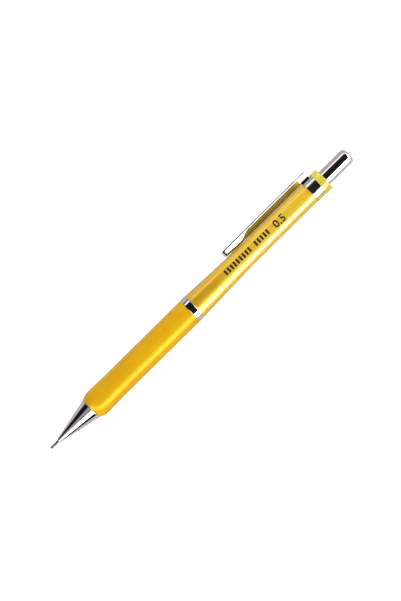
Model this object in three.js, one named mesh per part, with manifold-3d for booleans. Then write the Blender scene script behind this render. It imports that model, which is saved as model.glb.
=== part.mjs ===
// A mechanical pencil lying on its side. The writing tip is at the origin, +X runs to the push
// button, +Y points to the pocket clip and +Z is up. All sizes are millimetres, at rest.
import * as THREE from "three";
import { mergeVertices } from "three/addons/utils/BufferGeometryUtils.js";
import Module from "manifold-3d";

const wasm = await Module();
wasm.setup();

// ---- fits between pieces
const FACE_GAP = 0.02; // end faces that rest on each other
const PRESS_GAP = 0.015; // radial, pieces pressed or glued together
const RUN_GAP = 0.05; // radial, pieces that slide or turn in each other
const STOP_GAP = 0.03; // a travelling piece to its stop
const EDGE = 0.12; // broken edge on metal turnings

// ---- lengths along the outside, in order from the tip
const SLEEVE_REACH = 3.72; // bare steel sleeve ahead of the cone
const CONE_LENGTH = 15.7;
const GRIP_LENGTH = 47.2;
const MID_RING_LENGTH = 2.42;
const BARREL_LENGTH = 55.1;
const BAND_LENGTH = 4.0; // clip band
const FLANGE_LENGTH = 2.76; // collar's rear flange
const BUTTON_REACH = 12.0; // button standing out behind the collar

// ---- diameters of the outside
const SLEEVE_DIAMETER = 0.96;
const CONE_TIP_DIAMETER = 1.7;
const CONE_BACK_DIAMETER = 8.3;
const GRIP_BULGE_DIAMETER = 10.07;
const GRIP_WAIST_DIAMETER = 9.72;
const GRIP_BACK_DIAMETER = 9.77;
const MID_RING_DIAMETER = 9.78;
const BARREL_FRONT_DIAMETER = 9.68;
const BARREL_DIAMETER = 8.06;
const FLANGE_DIAMETER = 8.57;
const BUTTON_DIAMETER = 5.7;

// ---- shape of the grip and the barrel
const GRIP_NOSE_LENGTH = 3.1; // rounded front of the grip
const GRIP_BULGE_LENGTH = 1.0;
const GRIP_FALL_LENGTH = 7.0; // from the bulge down to the waist
const GRIP_BACK_LENGTH = 20.0; // waist back up to the rear diameter
const FLARE_LENGTH = 27.0; // barrel's trumpet-shaped front
const FLARE_POWER = 1.4;
const FLANGE_FILLET = 0.4;
const BUTTON_DOME = 1.3; // axial length of the domed end
const BUTTON_FLAT = 1.45; // radius of the flat in the middle of the end

// ---- lead, sleeve and nose
const LEAD_DIAMETER = 0.56;
const LEAD_LENGTH = 60;
const SLEEVE_BORE = 0.6;
const SLEEVE_SEAT = 3.78; // sleeve's length inside the cone
const NOSE_WEB = 0.45; // wall between the sleeve and the retainer
const NOSE_WEB_BORE = 0.8;
const RETAINER_LENGTH = 2.4;
const RETAINER_DIAMETER = 2.6;
const JAW_ROOM_LENGTH = 3.95; // from the retainer to the ring's stop
const JAW_ROOM_DIAMETER = 3.6;
const SPIGOT_LENGTH = 7.6; // cone's threaded rear spigot
const SPIGOT_DIAMETER = 6.3;

// ---- clutch
const SLEEVE_WALL = 0.6; // clutch sleeve
const RING_TRAVEL = 1.2;
const RING_LENGTH = 2.0;
const RING_DIAMETER = 3.9;
const RING_BORE = 2.4;
const RING_MOUTH = 0.3; // length of the bore's bell mouth
const RING_MOUTH_FLARE = 0.12;
const HEAD_DIAMETER = 2.9; // jaws' tapered head
const HEAD_LAND = 0.63; // parallel part of the head
const HEAD_AHEAD = 1.4; // head in front of the clutch ring
const HEAD_TAPER = 1.4;
const FINGER_DIAMETER = 1.9;
const FINGER_LENGTH = 9.8; // jaws, tip to flexure
const JAW_COUNT = 3;
const JAW_SLIT = 0.24;
const STEM_DIAMETER = 2.1;
const STEM_BORE = 0.9;
const STEM_TAIL_DIAMETER = 2.6;
const STEM_TAIL_LENGTH = 8.4;

// ---- inner barrel, spring and push unit
const CORE_DIAMETER = 7.6;
const CORE_SPIGOT_DIAMETER = 7.2; // rear spigot in the upper barrel
const CORE_SPIGOT_LENGTH = 9.0;
const CORE_SHOULDER = 1.55; // wall the spring rests on
const CORE_SHOULDER_BORE = 3.0;
const CORE_BORE = 5.4;
const SPRING_LENGTH = 11.3;
const SPRING_DIAMETER = 4.1;
const SPRING_WIRE = 0.4;
const SPRING_TURNS = 8;
const CONNECTOR_FLANGE = 1.55;
const CONNECTOR_FLANGE_DIAMETER = 5.1;
const CONNECTOR_PLUG = 6.4; // part inside the lead tube
const CONNECTOR_FUNNEL = 2.2;
const TUBE_WALL = 0.35;

// ---- rear end
const BARREL_BORE = 6.6;
const BARREL_REAR_WALL = 0.53;
const COLLAR_SPIGOT_LENGTH = 8.4; // collar's length inside the barrel
const COLLAR_SPIGOT_WALL = 0.4;
const NECK_STEP = 0.33; // radial, collar's neck below the barrel's outside
const BAND_THICKNESS = 0.5;
const BAND_GAP_DEGREES = 86; // opening of the C-shaped band, away from the clip
const KEY_CLEARANCE_DEGREES = 4; // each side of the key in the band's opening
const BUTTON_GAP = 0.14; // radial, button in the collar
const BUTTON_SKIRT = 4.4; // button's length hidden inside the collar
const BUTTON_SOCKET = 4.4; // tight part that grips the lead tube
const BUTTON_SOCKET_WALL = 0.53;
const BUTTON_WALL = 0.4;
const BUTTON_END_WALL = 0.8;
const TUBE_END_FROM_COLLAR = 1.0; // lead tube standing out of the collar
const HOLDER_DEPTH = 5.0; // eraser holder inside the lead tube
const HOLDER_FLANGE = 0.48;
const HOLDER_WALL = 0.28;
const HOLDER_FLOOR = 0.4;
const ERASER_LENGTH = 12.3;
const ERASER_ROUND = 0.5;

// ---- clip
const CLIP_LENGTH = 36; // nose end to band
const CLIP_RISE = 2.67; // outer face above the barrel
const CLIP_WIDTH = 3.2;
const CLIP_SHEET = 0.5;
const CLIP_WALL_HEIGHT = 2.5; // channel's side walls, outside
const CLIP_SPOON_LENGTH = 10.0; // pressed spoon at the nose
const CLIP_SPOON_DEEPEST = 5.5; // from the nose end
const CLIP_NOSE_HEIGHT = 2.2;
const CLIP_TOUCH_GAP = 0.04; // spoon to barrel
const CLIP_SPLIT = 0.1; // flexing arm to the head that stays with the band
const HEAD_CORNER = 1.2;
const CLIP_FOOT_WIDTH = 1.6; // across the lower edges of the arm's sides, which lean in
const HEAD_FOOT_WIDTH = 1.7; // across the head's leaning sides, at the band
const HEAD_SINK = 0.65; // depth of the head's sides inside the band's outside

// ---- resolution
const SHELL_STEPS = 40;
const SMALL_STEPS = 24;
const FINE_STEPS = 24;
const SPRING_STEPS_PER_TURN = 14;
const WIRE_STEPS = 6;

// ---- stations along the axis
const CONE_FRONT = SLEEVE_REACH;
const CONE_BACK = CONE_FRONT + CONE_LENGTH;
const GRIP_FRONT = CONE_BACK + RUN_GAP;
const GRIP_BACK = GRIP_FRONT + GRIP_LENGTH;
const MID_RING_FRONT = GRIP_BACK + FACE_GAP;
const MID_RING_BACK = MID_RING_FRONT + MID_RING_LENGTH;
const BARREL_FRONT = MID_RING_BACK + FACE_GAP;
const BARREL_BACK = BARREL_FRONT + BARREL_LENGTH;
const BAND_FRONT = BARREL_BACK + FACE_GAP;
const BAND_BACK = BAND_FRONT + BAND_LENGTH;
const FLANGE_FRONT = BAND_BACK + FACE_GAP;
const FLANGE_BACK = FLANGE_FRONT + FLANGE_LENGTH;
const BUTTON_BACK = FLANGE_BACK + BUTTON_REACH;
const SLEEVE_BACK = CONE_FRONT + SLEEVE_SEAT;
const RETAINER_FRONT = SLEEVE_BACK + NOSE_WEB + 2 * FACE_GAP;
const RETAINER_BACK = RETAINER_FRONT + RETAINER_LENGTH;
const RING_STOP = RETAINER_BACK + JAW_ROOM_LENGTH;
const NOSE_BACK = CONE_BACK + SPIGOT_LENGTH;
const CLUTCH_RING_FRONT = RING_STOP + RING_TRAVEL + STOP_GAP;
const JAW_FRONT = CLUTCH_RING_FRONT - HEAD_AHEAD;
const FLEXURE = JAW_FRONT + FINGER_LENGTH;
const SHOULDER_FRONT = NOSE_BACK + RUN_GAP;
const SHOULDER_BACK = SHOULDER_FRONT + CORE_SHOULDER;
const SPRING_FRONT = SHOULDER_BACK + FACE_GAP;
const SPRING_BACK = SPRING_FRONT + SPRING_LENGTH;
const CONNECTOR_FRONT = SPRING_BACK + FACE_GAP;
const TUBE_FRONT = CONNECTOR_FRONT + CONNECTOR_FLANGE + FACE_GAP;
const STEM_BACK = CONNECTOR_FRONT + STEM_TAIL_LENGTH / 2;
const TUBE_BACK = FLANGE_BACK + TUBE_END_FROM_COLLAR;

// ---- bores that follow from what goes in them
const SPIGOT_BORE = RING_DIAMETER + 2 * RUN_GAP + 2 * SLEEVE_WALL + 2 * RUN_GAP;
const CLUTCH_SLEEVE_DIAMETER = SPIGOT_BORE - 2 * RUN_GAP;
const CORE_MOUTH_BORE = SPIGOT_DIAMETER + 2 * RUN_GAP;
const CORE_SEAT_BORE = CORE_DIAMETER + 2 * RUN_GAP;
const BARREL_MOUTH_BORE = CORE_SPIGOT_DIAMETER + 2 * RUN_GAP;
const BARREL_REAR_BORE = BARREL_DIAMETER - 2 * BARREL_REAR_WALL;
const COLLAR_SPIGOT_DIAMETER = BARREL_REAR_BORE - 2 * RUN_GAP;
const NECK_DIAMETER = BARREL_DIAMETER - 2 * NECK_STEP;
const CLIP_TOP = BARREL_DIAMETER / 2 + CLIP_RISE; // above the pencil's axis
const BAND_BORE = NECK_DIAMETER + 2 * RUN_GAP;
const BAND_DIAMETER = BAND_BORE + 2 * BAND_THICKNESS;
const SOCKET_BORE = BUTTON_DIAMETER - 2 * BUTTON_SOCKET_WALL;
const TUBE_DIAMETER = SOCKET_BORE - 2 * FACE_GAP;
const TUBE_BORE = TUBE_DIAMETER - 2 * TUBE_WALL;
const HOLDER_DIAMETER = TUBE_BORE - 2 * RUN_GAP;
const ERASER_DIAMETER = HOLDER_DIAMETER - 2 * HOLDER_WALL - 2 * PRESS_GAP;

// ---- finishes
const finish = (color, roughness, metalness) => ({ color, roughness, metalness });
const CHROME = finish(0xd4d6d8, 0.08, 1.0);
const STEEL = finish(0xb9babc, 0.3, 1.0);
const BRASS = finish(0xc9a24a, 0.3, 1.0);
const SOFT_YELLOW = finish(0xe3a81c, 0.55, 0.0);
const LACQUER = finish(0xd9a406, 0.28, 0.45);
const CLEAR_YELLOW = finish(0xd8b414, 0.2, 0.0);
const BLACK_RUBBER = finish(0x1c1c1d, 0.7, 0.0);
const GRAPHITE = finish(0x3a3a3d, 0.45, 0.2);
const WHITE_PLASTIC = finish(0xe9e8e2, 0.45, 0.0);
const SMOKE_PLASTIC = finish(0xc9cbc6, 0.4, 0.0);
const ERASER_WHITE = finish(0xf1efe9, 0.85, 0.0);

const pencil = new THREE.Group();
pencil.name = "mechanical_pencil";

/** Adds one named piece with its own material. */
function addPiece(name, geometry, look) {
  const material = new THREE.MeshStandardMaterial(look);
  const mesh = new THREE.Mesh(geometry, material);
  mesh.name = name;
  pencil.add(mesh);
  return mesh;
}

/** Twice the signed area of a closed outline of [x, radius] points, positive when it faces out. */
function facing(outline) {
  let sum = 0;
  outline.forEach(([x, r], i) => {
    const [nextX, nextR] = outline[(i + 1) % outline.length];
    sum += r * nextX - nextR * x;
  });
  return sum;
}

/** Solid of revolution about X. The outline is a closed ring of [x, radius] points. */
function turned(outline, steps = SHELL_STEPS) {
  const loop = facing(outline) > 0 ? [...outline] : [...outline].reverse();
  const start = loop.findIndex(([, r], i) => r === 0 && loop.at(i - 1)[1] === 0);
  const onAxis = start >= 0;
  const ordered = onAxis ? [...loop.slice(start), ...loop.slice(0, start)] : loop;
  if (!onAxis) ordered.push(ordered[0]);
  const points = ordered.map(([x, r]) => new THREE.Vector2(r, x));
  const geometry = new THREE.LatheGeometry(points, steps);
  geometry.rotateZ(-Math.PI / 2);
  return geometry;
}

/** Plain tube or, with no bore, a rod, with the outer edges broken. */
function tube(front, back, diameter, bore, steps, edge = 0) {
  const outer = diameter / 2;
  const inner = bore / 2;
  const outside = edge
    ? [[front, outer - edge], [front + edge, outer], [back - edge, outer], [back, outer - edge]]
    : [[front, outer], [back, outer]];
  return turned([[front, inner], ...outside, [back, inner]], steps);
}

/** Points of a smooth S-shaped run of radius between two stations. */
function eased(fromX, fromR, toX, toR, steps) {
  const points = [];
  for (let i = 1; i <= steps; i += 1) {
    const t = i / steps;
    const s = (1 - Math.cos(Math.PI * t)) / 2;
    points.push([fromX + (toX - fromX) * t, fromR + (toR - fromR) * s]);
  }
  return points;
}

/** Manifold solid of a geometry, for cutting and joining. */
function toSolid(geometry) {
  const bare = geometry.clone();
  bare.deleteAttribute("normal");
  bare.deleteAttribute("uv");
  const merged = mergeVertices(bare, 1e-4);
  const index = merged.index.array;
  const corners = [];
  for (let i = 0; i < index.length; i += 3) {
    const [a, b, c] = [index[i], index[i + 1], index[i + 2]];
    if (a !== b && b !== c && c !== a) corners.push(a, b, c);
  }
  const mesh = new wasm.Mesh({
    numProp: 3,
    vertProperties: Float32Array.from(merged.attributes.position.array),
    triVerts: Uint32Array.from(corners),
  });
  return new wasm.Manifold(mesh);
}

/** Geometry of a manifold solid. */
function toGeometry(solid) {
  const mesh = solid.getMesh();
  const geometry = new THREE.BufferGeometry();
  const positions = new THREE.BufferAttribute(Float32Array.from(mesh.vertProperties), 3);
  geometry.setAttribute("position", positions);
  geometry.setIndex(new THREE.BufferAttribute(Uint32Array.from(mesh.triVerts), 1));
  return geometry;
}

/** Prism across the pencil: a side view in X and Y, centred on Z. */
function slab(points, width) {
  const shape = new THREE.Shape(points.map(([x, y]) => new THREE.Vector2(x, y)));
  const geometry = new THREE.ExtrudeGeometry(shape, { depth: width, bevelEnabled: false });
  geometry.translate(0, 0, -width / 2);
  return geometry;
}

/** Prism along the pencil: a front view in Y and Z. */
function bar(points, front, back) {
  const shape = new THREE.Shape(points.map(([y, z]) => new THREE.Vector2(y, z)));
  const geometry = new THREE.ExtrudeGeometry(shape, { depth: back - front, bevelEnabled: false });
  // the shape's x, y and depth become +Y, +Z and +X
  geometry.applyMatrix4(new THREE.Matrix4().set(0, 0, 1, front, 1, 0, 0, 0, 0, 1, 0, 0, 0, 0, 0, 1));
  return geometry;
}

/** Wedge along X that fills an angle about the axis, centred on a direction from +Y to +Z. */
function wedge(front, back, reach, direction, angle) {
  const points = [[0, 0]];
  const arcSteps = Math.ceil(angle / 15);
  for (let i = 0; i <= arcSteps; i += 1) {
    const a = THREE.MathUtils.degToRad(direction - angle / 2 + (angle * i) / arcSteps);
    points.push([reach * Math.cos(a), reach * Math.sin(a)]);
  }
  return bar(points, front, back);
}

/** Radius of the upper barrel's outside at a station. */
function barrelRadius(x) {
  const along = Math.max(0, 1 - (x - BARREL_FRONT) / FLARE_LENGTH);
  const flare = (BARREL_FRONT_DIAMETER - BARREL_DIAMETER) / 2;
  return BARREL_DIAMETER / 2 + flare * along ** FLARE_POWER;
}

// ---- nose: lead sleeve, cone and the rubber that keeps the lead from slipping back
addPiece("lead_sleeve", tube(0, SLEEVE_BACK, SLEEVE_DIAMETER, SLEEVE_BORE, FINE_STEPS, 0.05), STEEL);

const noseOutline = [
  [CONE_FRONT, SLEEVE_DIAMETER / 2 + PRESS_GAP],
  [CONE_FRONT, CONE_TIP_DIAMETER / 2 - EDGE / 2],
  [CONE_FRONT + EDGE / 2, CONE_TIP_DIAMETER / 2],
  [CONE_BACK - EDGE, CONE_BACK_DIAMETER / 2 - EDGE * 0.2],
  [CONE_BACK, CONE_BACK_DIAMETER / 2 - EDGE],
  [CONE_BACK, SPIGOT_DIAMETER / 2],
  [NOSE_BACK - EDGE, SPIGOT_DIAMETER / 2],
  [NOSE_BACK, SPIGOT_DIAMETER / 2 - EDGE],
  [NOSE_BACK, SPIGOT_BORE / 2],
  [RING_STOP, SPIGOT_BORE / 2],
  [RING_STOP, JAW_ROOM_DIAMETER / 2],
  [RETAINER_BACK + FACE_GAP, JAW_ROOM_DIAMETER / 2],
  [RETAINER_BACK + FACE_GAP, RETAINER_DIAMETER / 2 + PRESS_GAP],
  [RETAINER_FRONT - FACE_GAP, RETAINER_DIAMETER / 2 + PRESS_GAP],
  [RETAINER_FRONT - FACE_GAP, NOSE_WEB_BORE / 2],
  [SLEEVE_BACK + FACE_GAP, NOSE_WEB_BORE / 2],
  [SLEEVE_BACK + FACE_GAP, SLEEVE_DIAMETER / 2 + PRESS_GAP],
];
addPiece("nose_cone", turned(noseOutline), CHROME);

const retainer = tube(RETAINER_FRONT, RETAINER_BACK, RETAINER_DIAMETER, SLEEVE_BORE, FINE_STEPS, 0.2);
addPiece("lead_retainer", retainer, BLACK_RUBBER);
addPiece("writing_lead", tube(0, LEAD_LENGTH, LEAD_DIAMETER, 0, FINE_STEPS), GRAPHITE);

// ---- clutch: sleeve, ring and the three jaws on their stem
const clutchSleeve = tube(
  RING_STOP + FACE_GAP,
  NOSE_BACK - STOP_GAP,
  CLUTCH_SLEEVE_DIAMETER,
  RING_DIAMETER + 2 * RUN_GAP,
  SMALL_STEPS,
  EDGE,
);
addPiece("clutch_sleeve", clutchSleeve, WHITE_PLASTIC);

const ringBack = CLUTCH_RING_FRONT + RING_LENGTH;
const clutchRing = turned(
  [
    [CLUTCH_RING_FRONT, RING_BORE / 2 + RING_MOUTH_FLARE],
    [CLUTCH_RING_FRONT, RING_DIAMETER / 2 - EDGE],
    [CLUTCH_RING_FRONT + EDGE, RING_DIAMETER / 2],
    [ringBack - EDGE, RING_DIAMETER / 2],
    [ringBack, RING_DIAMETER / 2 - EDGE],
    [ringBack, RING_BORE / 2],
    [CLUTCH_RING_FRONT + RING_MOUTH, RING_BORE / 2],
  ],
  SMALL_STEPS,
);
addPiece("clutch_ring", clutchRing, BRASS);

// the jaws are thirds of one turned collet: head, taper and fingers, parted by slits
const headLandFront = CLUTCH_RING_FRONT - HEAD_LAND - (HEAD_AHEAD - HEAD_LAND) / 2;
const headLandBack = headLandFront + HEAD_LAND;
const colletOutline = [
  [JAW_FRONT, LEAD_DIAMETER / 2 + PRESS_GAP],
  [JAW_FRONT, HEAD_DIAMETER / 2 - EDGE],
  [headLandFront, HEAD_DIAMETER / 2],
  [headLandBack, HEAD_DIAMETER / 2],
  [headLandBack + HEAD_TAPER, FINGER_DIAMETER / 2],
  [FLEXURE, FINGER_DIAMETER / 2],
  [FLEXURE, STEM_BORE / 2],
  [headLandBack + HEAD_TAPER, STEM_BORE / 2],
  [headLandBack + HEAD_TAPER - 0.5, LEAD_DIAMETER / 2 + PRESS_GAP],
];
const collet = toSolid(turned(colletOutline, FINE_STEPS));
for (let i = 0; i < JAW_COUNT; i += 1) {
  const direction = 90 + (360 / JAW_COUNT) * i;
  const radians = THREE.MathUtils.degToRad(direction);
  const third = wedge(JAW_FRONT - 1, FLEXURE + 1, HEAD_DIAMETER, direction, 360 / JAW_COUNT);
  // moved out so that the wedge's two faces each stand half a slit back from the next jaw's
  const shift = JAW_SLIT / 2 / Math.sin(Math.PI / JAW_COUNT);
  third.translate(0, shift * Math.cos(radians), shift * Math.sin(radians));
  addPiece(`chuck_jaw_${i + 1}`, toGeometry(collet.intersect(toSolid(third))), BRASS);
}

const stemOutline = [
  [FLEXURE + FACE_GAP, STEM_BORE / 2],
  [FLEXURE + FACE_GAP, STEM_DIAMETER / 2],
  [STEM_BACK - STEM_TAIL_LENGTH, STEM_DIAMETER / 2],
  [STEM_BACK - STEM_TAIL_LENGTH + 0.4, STEM_TAIL_DIAMETER / 2],
  [STEM_BACK - EDGE, STEM_TAIL_DIAMETER / 2],
  [STEM_BACK, STEM_TAIL_DIAMETER / 2 - EDGE],
  [STEM_BACK, STEM_BORE / 2],
];
addPiece("chuck_body", turned(stemOutline, SMALL_STEPS), BRASS);

// ---- return spring: a wire coil between the inner barrel's shoulder and the connector
const springPath = new THREE.Curve();
springPath.getPoint = (t) => {
  const turn = 2 * Math.PI * SPRING_TURNS * t;
  const radius = (SPRING_DIAMETER - SPRING_WIRE) / 2;
  const run = SPRING_LENGTH - SPRING_WIRE - 2 * FACE_GAP;
  const x = SPRING_FRONT + SPRING_WIRE / 2 + FACE_GAP + run * t;
  return new THREE.Vector3(x, radius * Math.cos(turn), radius * Math.sin(turn));
};
const wireShape = new THREE.Shape();
for (let i = 0; i < WIRE_STEPS; i += 1) {
  const a = (2 * Math.PI * i) / WIRE_STEPS;
  const move = i === 0 ? "moveTo" : "lineTo";
  wireShape[move]((SPRING_WIRE / 2) * Math.cos(a), (SPRING_WIRE / 2) * Math.sin(a));
}
wireShape.closePath();
const spring = new THREE.ExtrudeGeometry(wireShape, {
  steps: SPRING_TURNS * SPRING_STEPS_PER_TURN,
  extrudePath: springPath,
  bevelEnabled: false,
});
addPiece("return_spring", spring, STEEL);

// ---- connector and lead tube, which carry the button's push to the chuck
const plugFront = CONNECTOR_FRONT + CONNECTOR_FLANGE;
const plugBack = plugFront + CONNECTOR_PLUG;
const plugDiameter = TUBE_BORE - 2 * RUN_GAP;
const connectorOutline = [
  [CONNECTOR_FRONT, STEM_TAIL_DIAMETER / 2 + RUN_GAP],
  [CONNECTOR_FRONT, CONNECTOR_FLANGE_DIAMETER / 2],
  [plugFront, CONNECTOR_FLANGE_DIAMETER / 2],
  [plugFront, plugDiameter / 2],
  [plugBack - EDGE, plugDiameter / 2],
  [plugBack, plugDiameter / 2 - EDGE],
  [plugBack - CONNECTOR_FUNNEL, STEM_BORE / 2],
  [STEM_BACK + FACE_GAP, STEM_BORE / 2],
  [STEM_BACK + FACE_GAP, STEM_TAIL_DIAMETER / 2 + RUN_GAP],
];
addPiece("chuck_connector", turned(connectorOutline, SMALL_STEPS), SMOKE_PLASTIC);
const leadTube = tube(TUBE_FRONT, TUBE_BACK, TUBE_DIAMETER, TUBE_BORE, SMALL_STEPS, EDGE);
addPiece("lead_tube", leadTube, SMOKE_PLASTIC);

// ---- body: inner barrel, soft grip, ring and lacquered upper barrel
const coreBack = MID_RING_BACK + CORE_SPIGOT_LENGTH;
const coreOutline = [
  [GRIP_FRONT, CORE_MOUTH_BORE / 2],
  [GRIP_FRONT, CORE_DIAMETER / 2],
  [MID_RING_BACK, CORE_DIAMETER / 2],
  [MID_RING_BACK, CORE_SPIGOT_DIAMETER / 2],
  [coreBack - EDGE, CORE_SPIGOT_DIAMETER / 2],
  [coreBack, CORE_SPIGOT_DIAMETER / 2 - EDGE],
  [coreBack, CORE_BORE / 2],
  [SHOULDER_BACK, CORE_BORE / 2],
  [SHOULDER_BACK, CORE_SHOULDER_BORE / 2],
  [SHOULDER_FRONT, CORE_SHOULDER_BORE / 2],
  [SHOULDER_FRONT, CORE_MOUTH_BORE / 2],
];
addPiece("grip_core", turned(coreOutline), WHITE_PLASTIC);

const bulgeRadius = GRIP_BULGE_DIAMETER / 2;
const waistRadius = GRIP_WAIST_DIAMETER / 2;
const noseDrop = bulgeRadius - CONE_BACK_DIAMETER / 2;
const bulgeBack = GRIP_FRONT + GRIP_NOSE_LENGTH + GRIP_BULGE_LENGTH;
const waistFront = bulgeBack + GRIP_FALL_LENGTH;
const gripOutline = [[GRIP_BACK, CORE_SEAT_BORE / 2], [GRIP_FRONT, CORE_SEAT_BORE / 2]];
const noseSteps = 8;
for (let i = 0; i <= noseSteps; i += 1) {
  const t = i / noseSteps;
  gripOutline.push([GRIP_FRONT + GRIP_NOSE_LENGTH * t, bulgeRadius - noseDrop * (1 - t) ** 2]);
}
gripOutline.push([bulgeBack, bulgeRadius]);
gripOutline.push(...eased(bulgeBack, bulgeRadius, waistFront, waistRadius, 6));
gripOutline.push([GRIP_BACK - GRIP_BACK_LENGTH, waistRadius]);
gripOutline.push([GRIP_BACK, GRIP_BACK_DIAMETER / 2]);
addPiece("rubber_grip", turned(gripOutline), SOFT_YELLOW);

const midRing = tube(
  MID_RING_FRONT,
  MID_RING_BACK,
  MID_RING_DIAMETER,
  CORE_SEAT_BORE,
  SHELL_STEPS,
  EDGE,
);
addPiece("mid_ring", midRing, CHROME);

const collarFront = BARREL_BACK - COLLAR_SPIGOT_LENGTH;
const barrelOutline = [];
const flareSteps = 10;
for (let i = 0; i <= flareSteps; i += 1) {
  const x = BARREL_FRONT + (FLARE_LENGTH * i) / flareSteps;
  barrelOutline.push([x, barrelRadius(x)]);
}
barrelOutline.push([BARREL_BACK - EDGE, BARREL_DIAMETER / 2]);
barrelOutline.push([BARREL_BACK, BARREL_DIAMETER / 2 - EDGE]);
barrelOutline.push([BARREL_BACK, BARREL_REAR_BORE / 2]);
barrelOutline.push([collarFront - STOP_GAP, BARREL_REAR_BORE / 2]);
barrelOutline.push([collarFront - STOP_GAP, BARREL_BORE / 2]);
barrelOutline.push([coreBack + STOP_GAP, BARREL_BORE / 2]);
barrelOutline.push([coreBack + STOP_GAP, BARREL_MOUTH_BORE / 2]);
barrelOutline.push([BARREL_FRONT, BARREL_MOUTH_BORE / 2]);
addPiece("upper_barrel", turned(barrelOutline), LACQUER);

// ---- end collar: spigot in the barrel, neck with the key under the band, and the rear flange
const collarBore = BUTTON_DIAMETER + 2 * BUTTON_GAP;
const spigotBore = COLLAR_SPIGOT_DIAMETER - 2 * COLLAR_SPIGOT_WALL;
const flangeRadius = FLANGE_DIAMETER / 2;
const collarOutline = [
  [collarFront, spigotBore / 2],
  [collarFront, COLLAR_SPIGOT_DIAMETER / 2],
  [BARREL_BACK + FACE_GAP / 2, COLLAR_SPIGOT_DIAMETER / 2],
  [BARREL_BACK + FACE_GAP / 2, NECK_DIAMETER / 2],
  [FLANGE_FRONT, NECK_DIAMETER / 2],
  [FLANGE_FRONT, flangeRadius - FLANGE_FILLET / 2],
  [FLANGE_FRONT + FLANGE_FILLET / 2, flangeRadius],
];
const filletSteps = 4;
for (let i = 0; i <= filletSteps; i += 1) {
  const a = ((Math.PI / 2) * i) / filletSteps;
  collarOutline.push([
    FLANGE_BACK - FLANGE_FILLET * (1 - Math.sin(a)),
    flangeRadius - FLANGE_FILLET * (1 - Math.cos(a)),
  ]);
}
collarOutline.push([FLANGE_BACK, collarBore / 2]);
collarOutline.push([BAND_FRONT, collarBore / 2]);
collarOutline.push([BAND_FRONT, spigotBore / 2]);
const keyAngle = BAND_GAP_DEGREES - 2 * KEY_CLEARANCE_DEGREES;
const keyRing = tube(BAND_FRONT, FLANGE_FRONT + FACE_GAP, BAND_DIAMETER, collarBore, SHELL_STEPS);
const keySector = wedge(BAND_FRONT - 1, FLANGE_BACK, BAND_DIAMETER, 180, keyAngle);
const key = toSolid(keyRing).intersect(toSolid(keySector));
addPiece("end_collar", toGeometry(toSolid(turned(collarOutline)).add(key)), CLEAR_YELLOW);

// ---- clip: C-shaped band with the head, and the arm that flexes
const headCeiling = CLIP_TOP - CLIP_SHEET;
const bandRadius = BAND_DIAMETER / 2;
const neckReach = BAND_BORE / 2;
const headOutside = [
  [BAND_FRONT, 0],
  [BAND_BACK, 0],
  [BAND_BACK, bandRadius],
];
const cornerSteps = 5;
for (let i = 0; i <= cornerSteps; i += 1) {
  const a = ((Math.PI / 2) * i) / cornerSteps;
  headOutside.push([
    BAND_BACK - HEAD_CORNER * (1 - Math.cos(a)) - CLIP_SHEET / 2,
    CLIP_TOP - HEAD_CORNER * (1 - Math.sin(a)),
  ]);
}
headOutside.push([BAND_FRONT, CLIP_TOP]);
const headInside = [
  [BAND_FRONT - 1, bandRadius],
  [BAND_BACK - 2 * CLIP_SHEET, bandRadius],
  [BAND_BACK - 2 * CLIP_SHEET, headCeiling],
  [BAND_FRONT - 1, headCeiling],
];
const bandBlank = tube(BAND_FRONT, BAND_BACK, BAND_DIAMETER, BAND_BORE, SHELL_STEPS);
const neckRoom = toSolid(tube(BAND_FRONT - 1, BAND_BACK + 1, BAND_BORE, 0, SHELL_STEPS));
const bandOpening = wedge(BAND_FRONT - 1, BAND_BACK + 1, 2 * neckReach, 180, BAND_GAP_DEGREES);
// section of the clip's folded sheet: its sides lean in from the roof down to the foot
const leaning = (footHeight, footWidth, bottom, inset) => {
  const lean = (CLIP_WIDTH - footWidth) / 2 / (CLIP_TOP - footHeight);
  const half = footWidth / 2 - (footHeight - bottom) * lean - inset;
  return [
    [bottom, -half],
    [CLIP_TOP, -CLIP_WIDTH / 2 + inset],
    [CLIP_TOP, CLIP_WIDTH / 2 - inset],
    [bottom, half],
  ];
};
const headFoot = bandRadius - HEAD_SINK;
const headSides = (inset) => leaning(bandRadius, HEAD_FOOT_WIDTH, headFoot, inset);
const headOuter = toSolid(slab(headOutside, BAND_DIAMETER)).intersect(
  toSolid(bar(headSides(0), BAND_FRONT - 1, BAND_BACK + 1)),
);
const headInner = toSolid(slab(headInside, BAND_DIAMETER)).intersect(
  toSolid(bar(headSides(CLIP_SHEET), BAND_FRONT - 2, BAND_BACK + 1)),
);
const band = headOuter
  .subtract(headInner)
  .add(toSolid(bandBlank))
  .subtract(neckRoom)
  .subtract(toSolid(bandOpening));
addPiece("clip_band", toGeometry(band), CHROME);

const clipFront = BAND_FRONT - CLIP_LENGTH;
const armBack = BAND_FRONT - CLIP_SPLIT;
const spoonBack = clipFront + CLIP_SPOON_LENGTH;
const spoonLow = clipFront + CLIP_SPOON_DEEPEST;
const wallBottom = CLIP_TOP - CLIP_WALL_HEIGHT;
const spoonBottom = barrelRadius(spoonLow) + CLIP_TOUCH_GAP;
const noseBottom = CLIP_TOP - CLIP_NOSE_HEIGHT;
const underside = [
  [clipFront, noseBottom],
  ...eased(clipFront, noseBottom, spoonLow, spoonBottom, 6),
  ...eased(spoonLow, spoonBottom, spoonBack, wallBottom, 6),
];
const armOutside = [...underside, [armBack, wallBottom], [armBack, CLIP_TOP], [clipFront, CLIP_TOP]];
const channel = [
  [spoonBack, headCeiling],
  [spoonBack, wallBottom - 1],
  [armBack + 1, wallBottom - 1],
  [armBack + 1, headCeiling],
];
const dish = underside.map(([x, y]) => [
  clipFront + CLIP_SHEET + ((x - clipFront) * (CLIP_SPOON_LENGTH - 2 * CLIP_SHEET)) / CLIP_SPOON_LENGTH,
  y + CLIP_SHEET,
]);
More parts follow.
